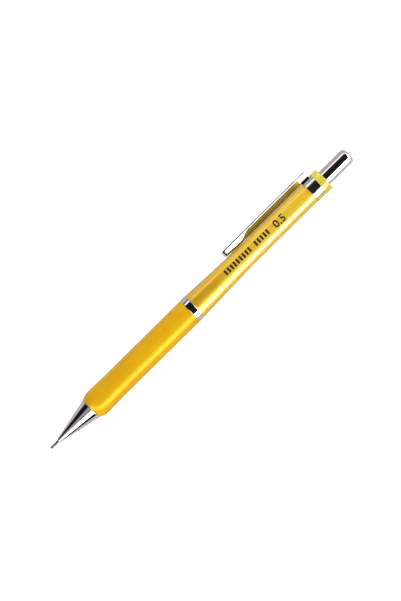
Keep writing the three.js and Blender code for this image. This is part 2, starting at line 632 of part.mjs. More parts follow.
dish.push([spoonBack - CLIP_SHEET, CLIP_TOP + 1], [clipFront + CLIP_SHEET, CLIP_TOP + 1]);
const armSides = (inset) => leaning(wallBottom, CLIP_FOOT_WIDTH, spoonBottom, inset);
const inner = toSolid(bar(armSides(CLIP_SHEET), clipFront - 1, armBack + 2));
const arm = toSolid(slab(armOutside, CLIP_WIDTH))
  .intersect(toSolid(bar(armSides(0), clipFront - 1, armBack + 1)))
  .subtract(toSolid(slab(channel, CLIP_WIDTH)).intersect(inner))
  .subtract(toSolid(slab(dish, CLIP_WIDTH)).intersect(inner));
addPiece("clip_arm", toGeometry(arm), CHROME);

// ---- eraser in its holder, under the push button
const holderFront = TUBE_BACK - HOLDER_DEPTH;
const holderBack = TUBE_BACK + FACE_GAP + HOLDER_FLANGE;
const holderBore = HOLDER_DIAMETER - 2 * HOLDER_WALL;
const holderOutline = [
  [holderFront, 0],
  [holderFront, HOLDER_DIAMETER / 2 - EDGE],
  [holderFront + EDGE, HOLDER_DIAMETER / 2],
  [TUBE_BACK + FACE_GAP, HOLDER_DIAMETER / 2],
  [TUBE_BACK + FACE_GAP, TUBE_DIAMETER / 2],
  [holderBack, TUBE_DIAMETER / 2],
  [holderBack, holderBore / 2],
  [holderFront + HOLDER_FLOOR, holderBore / 2],
  [holderFront + HOLDER_FLOOR, 0],
];
addPiece("eraser_holder", turned(holderOutline, SMALL_STEPS), STEEL);
const eraserFront = holderFront + HOLDER_FLOOR + FACE_GAP;
const eraser = tube(
  eraserFront,
  eraserFront + ERASER_LENGTH,
  ERASER_DIAMETER,
  0,
  SMALL_STEPS,
  ERASER_ROUND / 2,
);
addPiece("eraser", eraser, ERASER_WHITE);

const buttonRadius = BUTTON_DIAMETER / 2;
const buttonFront = FLANGE_BACK - BUTTON_SKIRT;
const socketRadius = SOCKET_BORE / 2;
const buttonOutline = [
  [buttonFront, socketRadius],
  [buttonFront, buttonRadius - EDGE],
  [buttonFront + EDGE, buttonRadius],
];
const domeSteps = 6;
for (let i = 0; i <= domeSteps; i += 1) {
  const a = ((Math.PI / 2) * i) / domeSteps;
  buttonOutline.push([
    BUTTON_BACK - BUTTON_DOME * (1 - Math.sin(a)),
    BUTTON_FLAT + (buttonRadius - BUTTON_FLAT) * Math.cos(a),
  ]);
}
buttonOutline.push([BUTTON_BACK, 0]);
buttonOutline.push([BUTTON_BACK - BUTTON_END_WALL, 0]);
buttonOutline.push([BUTTON_BACK - BUTTON_END_WALL, BUTTON_FLAT]);
buttonOutline.push([BUTTON_BACK - BUTTON_DOME - BUTTON_WALL, buttonRadius - BUTTON_WALL]);
buttonOutline.push([buttonFront + BUTTON_SOCKET, buttonRadius - BUTTON_WALL]);
buttonOutline.push([buttonFront + BUTTON_SOCKET, socketRadius]);
addPiece("push_button", turned(buttonOutline), CHROME);

export default pencil;
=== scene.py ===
"""Mechanical pencil lying on its side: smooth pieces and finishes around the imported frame.

+X runs along the pencil from the writing tip to the push button, +Y points to the clip and
+Z is up. Sizes in this file are millimetres unless a name says otherwise; meshes are metres.
"""

import logging
import math
from dataclasses import dataclass, field
from enum import Enum
from functools import lru_cache
from typing import Callable, Iterable, Sequence

import bmesh
import bpy
from bmesh.types import BMEdge, BMesh
from bpy.types import Material, Node, NodeSocket, NodeTree, Object
from mathutils import Euler, Matrix, Vector

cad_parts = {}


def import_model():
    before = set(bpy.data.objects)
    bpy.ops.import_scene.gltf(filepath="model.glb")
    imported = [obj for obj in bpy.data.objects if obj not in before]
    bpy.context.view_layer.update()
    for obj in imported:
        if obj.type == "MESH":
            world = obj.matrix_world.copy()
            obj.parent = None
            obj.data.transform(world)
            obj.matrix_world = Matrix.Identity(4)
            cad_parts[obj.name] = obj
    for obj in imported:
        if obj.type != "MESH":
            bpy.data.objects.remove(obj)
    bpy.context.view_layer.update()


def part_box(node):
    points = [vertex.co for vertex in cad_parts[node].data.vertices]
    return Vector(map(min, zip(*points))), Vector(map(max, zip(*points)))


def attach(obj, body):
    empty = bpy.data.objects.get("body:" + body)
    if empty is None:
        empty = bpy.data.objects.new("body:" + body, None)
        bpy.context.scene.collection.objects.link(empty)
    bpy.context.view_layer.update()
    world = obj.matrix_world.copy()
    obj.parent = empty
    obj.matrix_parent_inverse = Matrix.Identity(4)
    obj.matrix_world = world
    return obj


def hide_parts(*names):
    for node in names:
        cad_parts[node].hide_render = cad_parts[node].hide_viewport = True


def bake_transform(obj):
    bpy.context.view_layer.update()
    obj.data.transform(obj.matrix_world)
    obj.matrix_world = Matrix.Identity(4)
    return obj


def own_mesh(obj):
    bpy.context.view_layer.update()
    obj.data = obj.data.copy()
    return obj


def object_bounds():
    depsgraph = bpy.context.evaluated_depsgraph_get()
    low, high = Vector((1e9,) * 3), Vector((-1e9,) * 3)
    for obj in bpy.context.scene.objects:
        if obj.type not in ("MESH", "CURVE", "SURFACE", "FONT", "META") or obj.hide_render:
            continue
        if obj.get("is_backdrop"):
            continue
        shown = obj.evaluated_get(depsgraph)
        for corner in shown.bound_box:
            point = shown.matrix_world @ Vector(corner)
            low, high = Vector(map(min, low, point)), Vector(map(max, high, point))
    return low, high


MM = 0.001
WELD = 1e-7
FULL_TURN = 360.0
CORNER_ANGLE = math.radians(24)
CREASE_ANGLE = math.radians(34)

log = logging.getLogger("pencil")

Point = tuple[float, float]
Colour = tuple[float, float, float]


class Body(str, Enum):
    """Rigid bodies of the pencil, as the frame names them."""

    BARREL = "barrel"
    PUSH_UNIT = "push_unit"
    RING = "ring"
    NOSE_CARRIER = "nose_carrier"
    NOSE = "nose"
    LEAD = "lead"
    BUTTON = "button"
    ERASER_UNIT = "eraser_unit"
    CLIP = "clip"
    JAW_1 = "jaw_1"
    JAW_2 = "jaw_2"
    JAW_3 = "jaw_3"


class Slot(str, Enum):
    """Material slots of the record."""

    CHROME = "chrome"
    STEEL = "steel"
    BRASS = "brass"
    SOFT_YELLOW = "soft_yellow"
    LACQUER = "yellow_lacquer"
    CLEAR_YELLOW = "clear_yellow"
    BLACK_RUBBER = "black_rubber"
    GRAPHITE = "graphite"
    WHITE_PLASTIC = "white_plastic"
    SMOKE_PLASTIC = "smoke_plastic"
    ERASER = "eraser_white"


# ---------------------------------------------------------------- shader building


class Nodes:
    """Short way to lay out the nodes of one material or node group."""

    def __init__(self, tree: NodeTree) -> None:
        """Takes over the node tree to fill."""
        self.tree = tree
        self.column = 0

    def put(self, socket: NodeSocket, value: object) -> None:
        """Links an output to a socket, or sets the socket to a number or colour."""
        if isinstance(value, NodeSocket):
            self.tree.links.new(value, socket)
        elif socket.type == "RGBA" and len(value) == 3:
            socket.default_value = (*value, 1.0)
        else:
            socket.default_value = value

    def add(self, kind: str, inputs: dict[str, object] | None = None, **settings: object) -> Node:
        """Adds a node.

        Args:
            kind: the node's type name without the ShaderNode prefix.
            inputs: values or output sockets by input name.
            settings: attributes of the node by name.

        Returns:
            The new node.
        """
        node = self.tree.nodes.new("ShaderNode" + kind)
        self.column += 1
        node.location = (180 * (self.column % 9), -220 * (self.column // 9))
        for name, value in settings.items():
            setattr(node, name, value)
        for name, value in (inputs or {}).items():
            self.put(node.inputs[name], value)
        return node

    def math(self, operation: str, first: object, second: object = 0.0) -> NodeSocket:
        """Blender's arithmetic of that name on two numbers or output sockets."""
        node = self.add("Math", operation=operation)
        for socket, value in zip(node.inputs, (first, second)):
            self.put(socket, value)
        return node.outputs[0]

    def span(
        self, value: NodeSocket, low: float, high: float, to_low: float = 0.0, to_high: float = 1.0
    ) -> NodeSocket:
        """Smooth remap of a value from low..high to to_low..to_high."""
        ends = {"Value": value, "From Min": low, "From Max": high, "To Min": to_low, "To Max": to_high}
        return self.add("MapRange", ends, interpolation_type="SMOOTHSTEP").outputs["Result"]

    def mix(self, factor: object, first: object, second: object) -> NodeSocket:
        """Mix of two colours or sockets, the first where the factor is 0."""
        node = self.add("Mix", data_type="RGBA")
        for index, value in ((0, factor), (6, first), (7, second)):
            self.put(node.inputs[index], value)
        return node.outputs[2]

    def noise(self, where: NodeSocket, scale: object, detail: float = 3.0) -> NodeSocket:
        """Noise of so many features per metre and octaves, 0 to 1."""
        inputs = {"Vector": where, "Scale": scale, "Detail": detail}
        return self.add("TexNoise", inputs).outputs["Fac"]

    def along(self, where: NodeSocket) -> NodeSocket:
        """The coordinate along the pencil."""
        return self.add("SeparateXYZ", {"Vector": where}).outputs["X"]

    def stretched(
        self, where: NodeSocket, scale: tuple[float, ...], turn: tuple[float, ...] = (0.0, 0.0, 0.0)
    ) -> NodeSocket:
        """Coordinates turned and scaled by axis, so that a pattern runs along the piece."""
        inputs = {"Vector": where, "Rotation": turn, "Scale": scale}
        return self.add("Mapping", inputs).outputs[0]


class Effect(Enum):
    """Shader node groups that several finishes share, and what the second number and output are."""

    SMUDGES = ("handling_smudges", "Amount", "Mask")
    SCRATCHES = ("hairline_scratches", "Amount", "Mask")
    DUST = ("dust_specks", "Amount", "Mask")
    GRAIN = ("moulded_grain", "Depth", "Height")
    LATHE = ("lathe_marks", "Depth", "Height")


class SharedEffects:
    """The shared node groups, each built once."""

    def __init__(self) -> None:
        """Builds every group."""
        fills = (self._smudges, self._scratches, self._dust, self._grain, self._lathe)
        self.groups = {effect: self._make(effect, fill) for effect, fill in zip(Effect, fills)}

    @staticmethod
    def _make(effect: Effect, fill: Callable[[Nodes, NodeSocket, NodeSocket], NodeSocket]) -> NodeTree:
        """Makes one node group.

        Args:
            effect: the group's name and sockets.
            fill: builds the pattern from coordinates and a scale.

        Returns:
            The finished group.
        """
        name, amount, result = effect.value
        group = bpy.data.node_groups.new(name, "ShaderNodeTree")
        group.interface.new_socket(name="Vector", in_out="INPUT", socket_type="NodeSocketVector")
        for label in ("Scale", amount):
            group.interface.new_socket(name=label, in_out="INPUT", socket_type="NodeSocketFloat")
        group.interface.new_socket(name=result, in_out="OUTPUT", socket_type="NodeSocketFloat")
        nodes = Nodes(group)
        entry, leave = group.nodes.new("NodeGroupInput"), group.nodes.new("NodeGroupOutput")
        pattern = fill(nodes, entry.outputs["Vector"], entry.outputs["Scale"])
        nodes.put(leave.inputs[result], nodes.math("MULTIPLY", pattern, entry.outputs[amount]))
        return group

    @staticmethod
    def _smudges(nodes: Nodes, where: NodeSocket, scale: NodeSocket) -> NodeSocket:
        """Broad soft patches left by fingers."""
        return nodes.span(nodes.noise(where, scale, 4.0), 0.42, 0.68)

    @staticmethod
    def _scratches(nodes: Nodes, where: NodeSocket, scale: NodeSocket) -> NodeSocket:
        """Thin crossing lines, few and short."""
        lines = []
        for turn, stretch in ((0.4, 30.0), (-0.7, 24.0)):
            mapped = nodes.stretched(where, (1.0, stretch, stretch), (turn, turn * 0.6, turn))
            lines.append(nodes.span(nodes.noise(mapped, scale, 1.0), 0.69, 0.74))
        return nodes.math("MAXIMUM", *lines)

    @staticmethod
    def _dust(nodes: Nodes, where: NodeSocket, scale: NodeSocket) -> NodeSocket:
        """Small round specks, most cells empty."""
        cells = nodes.add("TexVoronoi", {"Vector": where, "Scale": scale})
        near = nodes.span(cells.outputs["Distance"], 0.05, 0.16, 1.0, 0.0)
        split = nodes.add("SeparateColor", {"Color": cells.outputs["Color"]})
        return nodes.math("MULTIPLY", near, nodes.span(split.outputs[0], 0.86, 0.9))

    @staticmethod
    def _grain(nodes: Nodes, where: NodeSocket, scale: NodeSocket) -> NodeSocket:
        """Fine pebble of a moulded surface."""
        cells = nodes.add("TexVoronoi", {"Vector": where, "Scale": scale}, feature="SMOOTH_F1")
        return nodes.math("ADD", cells.outputs["Distance"], nodes.noise(where, scale, 2.0))

    @staticmethod
    def _lathe(nodes: Nodes, where: NodeSocket, scale: NodeSocket) -> NodeSocket:
        """Fine rings round the axis, as a turning tool leaves them."""
        rings = nodes.add("CombineXYZ", {"X": nodes.along(where)}).outputs[0]
        return nodes.noise(rings, scale, 2.0)


class Surface(Nodes):
    """The nodes of one material: its shader, its coordinates and the shared effects."""

    def __init__(self, material: Material, effects: SharedEffects) -> None:
        """Takes over a new material's nodes."""
        super().__init__(material.node_tree)
        self.effects = effects
        self.shader = material.node_tree.nodes["Principled BSDF"]
        self.where = self.add("TexCoord").outputs["Object"]

    def effect(self, effect: Effect, scale: float, amount: float = 1.0) -> NodeSocket:
        """Places a shared effect and gives its output."""
        node = self.add("Group")
        node.node_tree = self.effects.groups[effect]
        for socket, value in zip(node.inputs, (self.where, scale, amount)):
            self.put(socket, value)
        return node.outputs[0]

    def cloud(self, scale: float) -> NodeSocket:
        """Noise on the piece's own coordinates."""
        return self.noise(self.where, scale)

    def streaks(self, scale: float, stretch: float) -> NodeSocket:
        """Noise that is stretched along the pencil."""
        return self.noise(self.stretched(self.where, (1.0, stretch, stretch)), scale)

    def shade(self, **inputs: object) -> None:
        """Sets or links the shader's inputs, named with _ for a space."""
        for name, value in inputs.items():
            self.put(self.shader.inputs[name.replace("_", " ")], value)

    def relief(self, height: NodeSocket, distance: float, strength: float) -> None:
        """Feeds a height to the shader's normal.

        Args:
            height: the height's socket.
            distance: metres for a height of 1.
            strength: how much of the bump shows.
        """
        inputs = {"Height": height, "Distance": distance, "Strength": strength}
        self.shade(Normal=self.add("Bump", inputs).outputs[0])


@dataclass(frozen=True)
class Finish:
    """What every finish shares: its name, its slot and how its material is started."""

    name: str
    slot: Slot

    def material(self, effects: SharedEffects) -> Material:
        """Builds the material with the shared effects."""
        made = bpy.data.materials.new(self.name)
        made.use_nodes = True
        self.dress(Surface(made, effects))
        return made

    def dress(self, on: Surface) -> None:
        """Sets the shader's inputs; each finish has its own."""
        raise NotImplementedError


@dataclass(frozen=True)
class Plating(Finish):
    """Bright plating with faint handling marks, and painted shade ahead of a station if it has one: a
    darker base colour standing in for shade.
    """

    colour: Colour = (0.84, 0.85, 0.86)
    roughness: float = 0.045
    marks: float = 0.05
    painted_shade: Colour | None = None
    painted_shade_before: float = 122.6

    def dress(self, on: Surface) -> None:
        """Mirror metal whose roughness varies with smudges and hairlines."""
        smudge = on.effect(Effect.SMUDGES, 260.0, self.marks)
        hair = on.effect(Effect.SCRATCHES, 420.0, self.marks * 1.6)
        dust = on.effect(Effect.DUST, 1500.0, 0.25)
        rough = on.math("ADD", on.math("ADD", smudge, hair), self.roughness)
        tone = on.mix(on.cloud(120.0), self.colour, tuple(c * 0.93 for c in self.colour))
        # Painted shade: ahead of the station the base colour turns to a darker grey, standing in for the
        # shaded barrel that the clip's arm reflects; the plating is not really duller there.
        if self.painted_shade is not None:
            edge = self.painted_shade_before * MM
            tone = on.mix(on.span(on.along(on.where), edge - MM, edge + MM, 1.0, 0.0), tone, self.painted_shade)
        on.shade(Base_Color=on.mix(dust, tone, (0.6, 0.58, 0.55)), Metallic=1.0)
        on.shade(Roughness=on.math("ADD", rough, on.math("MULTIPLY", dust, 0.4)))
        on.relief(on.math("SUBTRACT", 0.0, hair), 0.00001, 0.15)


@dataclass(frozen=True)
class TurnedMetal(Finish):
    """Bare metal with the rings a lathe leaves."""

    colour: Colour = (0.62, 0.62, 0.63)
    dark: Colour = (0.45, 0.45, 0.46)
    roughness: float = 0.24
    ring_depth: float = 0.6

    def dress(self, on: Surface) -> None:
        """Satin metal with ring relief and slight tarnish."""
        rings = on.effect(Effect.LATHE, 9000.0, self.ring_depth)
        tarnish = on.effect(Effect.SMUDGES, 500.0, 0.6)
        on.shade(Base_Color=on.mix(tarnish, self.colour, self.dark), Metallic=1.0)
        on.shade(Roughness=on.math("ADD", on.math("MULTIPLY", rings, 0.15), self.roughness))
        on.relief(rings, 0.00002, 0.35)


@dataclass(frozen=True)
class SoftRubber(Finish):
    """Soft satin rubber with moulded grain and a little lint."""

    colour: Colour = (0.49, 0.265, 0.004)
    deep: Colour = (0.46, 0.24, 0.004)
    shine: Colour = (1.0, 0.72, 0.06)
    roughness: float = 0.3
    grain: float = 5200.0

    def dress(self, on: Surface) -> None:
        """Satin base with grain, lint and polished patches where fingers hold it."""
        polish = on.effect(Effect.SMUDGES, 150.0, 0.02)
        tone = on.mix(on.span(on.cloud(90.0), 0.35, 0.65), self.colour, self.deep)
        tone = on.mix(on.effect(Effect.DUST, 900.0, 0.5), tone, (0.75, 0.6, 0.3))
        on.shade(Base_Color=tone, Roughness=on.math("SUBTRACT", self.roughness, polish))
        on.shade(Specular_IOR_Level=0.9, Specular_Tint=self.shine)
        on.relief(on.effect(Effect.GRAIN, self.grain), 0.000012, 0.35)


@dataclass(frozen=True)
class MetallicLacquer(Finish):
    """Yellow lacquer with metal flake under a clear coat, deeper towards the grip."""

    bright: Colour = (0.54, 0.34, 0.008)
    deep: Colour = (0.74, 0.43, 0.012)
    fade_start: float = 70.0
    fade_end: float = 112.0

    def dress(self, on: Surface) -> None:
        """Flake base under gloss; the metal shows most near the ring."""
        near_ring = on.span(on.along(on.where), self.fade_start * MM, self.fade_end * MM, 1.0, 0.0)
        flakes = on.add("TexVoronoi", {"Vector": on.where, "Scale": 14000.0})
        split = on.add("SeparateColor", {"Color": flakes.outputs["Color"]})
        glint = on.span(split.outputs[1], 0.5, 1.0)
        tone = on.mix(near_ring, self.bright, self.deep)
        on.shade(Base_Color=on.mix(on.math("MULTIPLY", glint, 0.12), tone, (1.0, 0.82, 0.3)))
        on.shade(Metallic=on.math("ADD", on.math("MULTIPLY", near_ring, 0.52), 0.12))
        on.shade(Roughness=on.math("ADD", on.effect(Effect.SMUDGES, 180.0, 0.05), 0.3))
        on.shade(Coat_Weight=1.0, Coat_Roughness=0.05, Coat_IOR=1.5)
        hair = on.effect(Effect.SCRATCHES, 300.0, 0.5)
        on.relief(on.math("ADD", on.math("MULTIPLY", split.outputs[0], 0.5), hair), 0.000006, 0.12)


@dataclass(frozen=True)
class ClearPlastic(Finish):
    """Tinted clear plastic with flow marks."""

    colour: Colour = (0.7, 0.6, 0.08)
    deep: Colour = (0.6, 0.48, 0.045)
    transmission: float = 0.3
    roughness: float = 0.16

    def dress(self, on: Surface) -> None:
        """Tinted body that lets some light through."""
        flow = on.streaks(700.0, 0.4)
        on.shade(Base_Color=on.mix(on.span(flow, 0.35, 0.65), self.colour, self.deep))
        on.shade(Roughness=on.math("ADD", on.effect(Effect.SMUDGES, 320.0, 0.06), self.roughness))
        on.shade(Transmission_Weight=self.transmission, IOR=1.49)
        on.relief(flow, 0.00001, 0.1)


@dataclass(frozen=True)
class MouldedPlastic(Finish):
    """Opaque moulded plastic, satin."""

    colour: Colour = (0.8, 0.79, 0.74)
    deep: Colour = (0.7, 0.69, 0.64)
    roughness: float = 0.38
    grain: float = 4000.0

    def dress(self, on: Surface) -> None:
        """Satin base with mould grain and light rubbing."""
        rub = on.effect(Effect.SMUDGES, 240.0, 0.8)
        tone = on.mix(rub, self.colour, self.deep)
        on.shade(Base_Color=on.mix(on.effect(Effect.DUST, 1100.0, 0.6), tone, self.deep))
        on.shade(Roughness=on.math("ADD", on.math("MULTIPLY", rub, 0.08), self.roughness))
        on.relief(on.effect(Effect.GRAIN, self.grain), 0.00001, 0.25)


@dataclass(frozen=True)
class Graphite(Finish):
    """Pressed lead: dark grey with a metallic sheen."""

    colour: Colour = (0.05, 0.05, 0.055)

    def dress(self, on: Surface) -> None:
        """Fine streaks along the lead."""
        streak = on.streaks(900.0, 12.0)
        tone = on.mix(on.span(streak, 0.4, 0.7), self.colour, (0.16, 0.16, 0.17))
        on.shade(Base_Color=tone, Metallic=0.35, Roughness=on.span(streak, 0.3, 0.7, 0.3, 0.5))
        on.relief(streak, 0.00001, 0.3)


@dataclass(frozen=True)
class EraserBlock(Finish):
    """White vinyl eraser, chalky, with a grey smear at its end."""

    colour: Colour = (0.86, 0.85, 0.82)
    smear_from: float = 138.0
    smear_to: float = 139.8

    def dress(self, on: Surface) -> None:
        """Chalky surface with crumbs and the rubbed end."""
        end = on.span(on.along(on.where), self.smear_from * MM, self.smear_to * MM)
        smear = on.math("MULTIPLY", end, on.span(on.cloud(900.0), 0.4, 0.65))
        on.shade(Base_Color=on.mix(smear, self.colour, (0.3, 0.3, 0.31)), Roughness=0.85)
        on.relief(on.effect(Effect.GRAIN, 3000.0), 0.00004, 0.5)


@dataclass(frozen=True)
class PrintInk(Finish):
    """Black pad-printed ink, slightly worn."""

    colour: Colour = (0.012, 0.011, 0.01)

    def dress(self, on: Surface) -> None:
        """Ink with small pinholes of wear."""
        wear = on.effect(Effect.DUST, 6000.0, 0.6)
        on.shade(Base_Color=on.mix(wear, self.colour, (0.25, 0.15, 0.02)))
        on.shade(Roughness=on.span(on.cloud(2500.0), 0.3, 0.7, 0.25, 0.4))


@dataclass(frozen=True)
class PaleFloor(Finish):
    """Plain studio surface: bright to the eye, calmer in what it lends to reflections."""

    colour: Colour = (0.36, 0.325, 0.32)
    glow: float = 0.93

    def dress(self, on: Surface) -> None:
        """Matt surface with a trace of paper tooth."""
        tone = on.mix(on.cloud(1500.0), self.colour, tuple(c * 0.97 for c in self.colour))
        on.shade(Base_Color=tone, Roughness=0.9, Specular_IOR_Level=0.1, Emission_Color=(1.0, 1.0, 1.0))
        eye = on.add("LightPath").outputs["Is Camera Ray"]
        on.shade(Emission_Strength=on.math("MULTIPLY", eye, self.glow))


class Palette:
    """Every finish of the pencil, made once and handed out by name."""

    FINISHES: tuple[Finish, ...] = (
        Plating("plating_cone", Slot.CHROME),
        # The clip's arm gets painted shade: a darker grey base colour ahead of the band, for the shaded
        # barrel under it that its walls reflect.
        Plating("plating_clip_painted_shade", Slot.CHROME, roughness=0.09, marks=0.06, painted_shade=(0.43, 0.43, 0.45)),
        Plating("plating_ring", Slot.CHROME),
        Plating("plating_button", Slot.CHROME, roughness=0.05),
        TurnedMetal("steel_drawn", Slot.STEEL),
        TurnedMetal("steel_sleeve", Slot.STEEL, (0.16, 0.155, 0.15), (0.12, 0.115, 0.11), 0.3),
        TurnedMetal("brass_turned", Slot.BRASS, (0.72, 0.47, 0.16), (0.5, 0.3, 0.1)),
        SoftRubber("rubber_soft_yellow", Slot.SOFT_YELLOW),
        MetallicLacquer("lacquer_yellow", Slot.LACQUER),
        ClearPlastic("plastic_clear_yellow", Slot.CLEAR_YELLOW),
        MouldedPlastic("plastic_white", Slot.WHITE_PLASTIC),
        MouldedPlastic("plastic_smoke", Slot.SMOKE_PLASTIC, (0.55, 0.56, 0.54), (0.47, 0.48, 0.46)),
        MouldedPlastic("rubber_black", Slot.BLACK_RUBBER, (0.015, 0.015, 0.015), (0.03, 0.03, 0.03), 0.6),
        Graphite("graphite", Slot.GRAPHITE),
        EraserBlock("eraser", Slot.ERASER),
        PrintInk("ink_black", Slot.LACQUER),
    )

    def __init__(self) -> None:
        """Builds the shared groups and every material."""
        effects = SharedEffects()
        self.floor = PaleFloor("floor_pale", Slot.WHITE_PLASTIC).material(effects)
        self.finishes = {f.name: (f.slot, f.material(effects)) for f in self.FINISHES}


# ---------------------------------------------------------------- shape building


@dataclass(frozen=True)
class Extent:
    """Where a CAD node lies along the axis, and its largest radius, in millimetres."""

    front: float
    back: float
    radius: float

    @classmethod
    @lru_cache(maxsize=None)
    def of(cls, node: str) -> "Extent":
        """Reads a CAD node's box from the frame."""
        low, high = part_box(node)
        return cls(low.x / MM, high.x / MM, (high.z - low.z) / 2 / MM)


def arc(centre: Point, radii: Point, start: float, end: float, steps: int) -> list[Point]:
    """Points of an elliptic arc in an outline.

    Args:
        centre: station and radius of the arc's centre.
        radii: the arc's size along the axis and across it.
        start: angle of the first point in degrees, 0 along +X, 90 outwards.
        end: angle of the last point.
        steps: segments.

    Returns:
        The arc's points.
    """
    points = []
    for i in range(steps + 1):
        a = math.radians(start + (end - start) * i / steps)
        points.append((centre[0] + radii[0] * math.cos(a), centre[1] + radii[1] * math.sin(a)))
    return points


def smooth(t: float) -> float:
    """Eased 0 to 1 step, flat at both ends."""
    t = min(1.0, max(0.0, t))
    return t * t * (3 - 2 * t)


def is_ring_edge(edge: BMEdge) -> bool:
    """True if an edge runs round the axis rather than along it."""
    a, b = (v.co for v in edge.verts)
    return abs(a.x - b.x) < 1e-8 and abs(math.hypot(a.y, a.z) - math.hypot(b.y, b.z)) < 1e-8


def break_edges(bm: BMesh, edges: Iterable[BMEdge], width: float, segments: int = 3) -> None:
    """Rounds edges with the editor's bevel, by a width in millimetres."""
    if edges and width > 0:
        bmesh.ops.bevel(
            bm, geom=edges, offset=width * MM, offset_type="OFFSET", segments=segments,
            profile=0.5, affect="EDGES", clamp_overlap=True, material=-1,
        )


def tidy(bm: BMesh) -> None:
    """Merges doubles and turns every face outwards."""
    bmesh.ops.remove_doubles(bm, verts=bm.verts, dist=WELD)
    bmesh.ops.recalc_face_normals(bm, faces=bm.faces)


def spun(bm: BMesh, outline: Iterable[Vector], closed: bool, angle: float, steps: int, lead: float) -> None:
    """Draws an outline and spins it about the axis; an open sweep gets end faces.

    Args:
        bm: the mesh to fill.
        outline: the outline's points.
        closed: whether the last point joins the first.
        angle: the sweep in degrees.
        steps: segments of the sweep.
        lead: metres along the axis at each step.
    """
    verts = [bm.verts.new(p) for p in outline]
    edges = [bm.edges.new(pair) for pair in zip(verts, verts[1:])]
    if closed:
        edges.append(bm.edges.new((verts[-1], verts[0])))
    whole = angle >= FULL_TURN and lead == 0.0
    bmesh.ops.spin(
        bm, geom=verts + edges, cent=(0, 0, 0), axis=(1, 0, 0), dvec=(lead, 0, 0),
        angle=math.radians(angle), steps=steps, use_merge=whole,
    )
    bmesh.ops.remove_doubles(bm, verts=bm.verts, dist=WELD)
    if not whole:
        bmesh.ops.holes_fill(bm, edges=[e for e in bm.edges if e.is_boundary])
    bmesh.ops.recalc_face_normals(bm, faces=bm.faces)


@dataclass
class Turning:
    """A piece turned about the pencil's axis from an outline of (station, radius) points.

    The outline is a closed ring, or starts and ends on the axis.
    """

    outline: Sequence[Point]
    rounding: float = 0.04
    steps: int = 96
    start: float = 0.0
    sweep: float = FULL_TURN

    def mesh(self) -> BMesh:
        """Spins the outline into a closed mesh in metres and rounds its corners."""
        bm = bmesh.new()
        turn = Matrix.Rotation(math.radians(self.start), 3, "X")
        points = [turn @ Vector((x * MM, r * MM, 0.0)) for x, r in self.outline]
        on_axis = self.outline[0][1] == 0.0 and self.outline[-1][1] == 0.0
        spun(bm, points, not on_axis, self.sweep, self.steps, 0.0)
        rings = [e for e in bm.edges if e.is_manifold and is_ring_edge(e)]
        break_edges(bm, [e for e in rings if e.calc_face_angle(0.0) > CORNER_ANGLE], self.rounding)
        return bm


@dataclass
class Helix:
    """A wire or thread ridge that runs round the axis: a section spun with a lead."""

    section: Sequence[Point]
    turns: float
    pitch: float
    steps_per_turn: int = 36

    def mesh(self) -> BMesh:
        """Spins the section while it moves along the axis into a closed mesh in metres."""
        bm = bmesh.new()
        points = [Vector((x * MM, r * MM, 0.0)) for x, r in self.section]
        steps = round(self.turns * self.steps_per_turn)
        spun(bm, points, True, FULL_TURN * self.turns, steps, self.pitch * self.turns * MM / steps)
        return bm


def loft(loops: Sequence[Sequence[tuple[float, float, float]]]) -> BMesh:
    """Skins closed loops of the same number of points, in millimetres, and caps both ends."""
    bm = bmesh.new()
    rings = [[bm.verts.new(Vector(p) * MM) for p in loop] for loop in loops]
    for ring in rings:
        for a, b in zip(ring, ring[1:] + ring[:1]):
            bm.edges.new((a, b))
    for first, second in zip(rings, rings[1:]):
        for i, vert in enumerate(first):
            after = (i + 1) % len(first)
            bm.faces.new((vert, first[after], second[after], second[i]))
    for ring in (rings[0], rings[-1]):
        bmesh.ops.triangulate(bm, faces=[bm.faces.new(ring)])
    tidy(bm)
    return bm


def link(name: str, data: bpy.types.ID) -> Object:
    """Puts an object with that data into the scene."""
    obj = bpy.data.objects.new(name, data)
    bpy.context.scene.collection.objects.link(obj)
    return obj


class Workshop:
    """Turns meshes into finished pieces of the frame and keeps count of them."""

    def __init__(self, palette: Palette) -> None:
        """Starts with the palette's finishes and no pieces."""
        self.palette = palette
        self.count = 0

    def piece(
        self, name: str, parts: Sequence[BMesh], finish: str, body: Body | None, *replaces: str
    ) -> Object:
        """Joins meshes into one object and places it in the frame.

        Args:
            name: the piece's name.
            parts: its meshes, freed here.
            finish: the finish's name in the palette.
            body: the body it rides on, or None to leave it unattached.
            replaces: CAD nodes it stands for.

        Returns:
            The object.
        """
        data = bpy.data.meshes.new(name)
        whole = bmesh.new()
        for part in parts:
            held = bpy.data.meshes.new(name + "_part")
            part.to_mesh(held)
            part.free()
            whole.from_mesh(held)
            bpy.data.meshes.remove(held)
        for face in whole.faces:
            face.smooth = True
        for edge in whole.edges:
            edge.smooth = not (edge.is_manifold and edge.calc_face_angle(0.0) > CREASE_ANGLE)
        whole.to_mesh(data)
        whole.free()
        slot, material = self.palette.finishes[finish]
        data.materials.append(material)
        obj = link(name, data)
        obj.modifiers.new("face_weights", "WEIGHTED_NORMAL").keep_sharp = True
        if replaces:
            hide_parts(*replaces)
        if body is not None:
            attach(obj, body.value)
        self.count += 1
        log.info("%s: %d faces, finish %s", name, len(data.polygons), finish)
        return obj

    def turned(
        self, name: str, outline: Sequence[Point], finish: str, body: Body, node: str,
        rounding: float, steps: int,
    ) -> Object:
        """Makes a piece that is one turning.

        Args:
            name: the piece's name.
            outline: its points of station and radius.
            finish: the finish's name in the palette.
            body: the body it rides on.
            node: the CAD node it stands for.
            rounding: its corners' bevel in millimetres.
            steps: segments round the axis.

        Returns:
            The object.
        """
        return self.piece(name, [Turning(outline, rounding, steps).mesh()], finish, body, node)


# ---------------------------------------------------------------- sub-assemblies


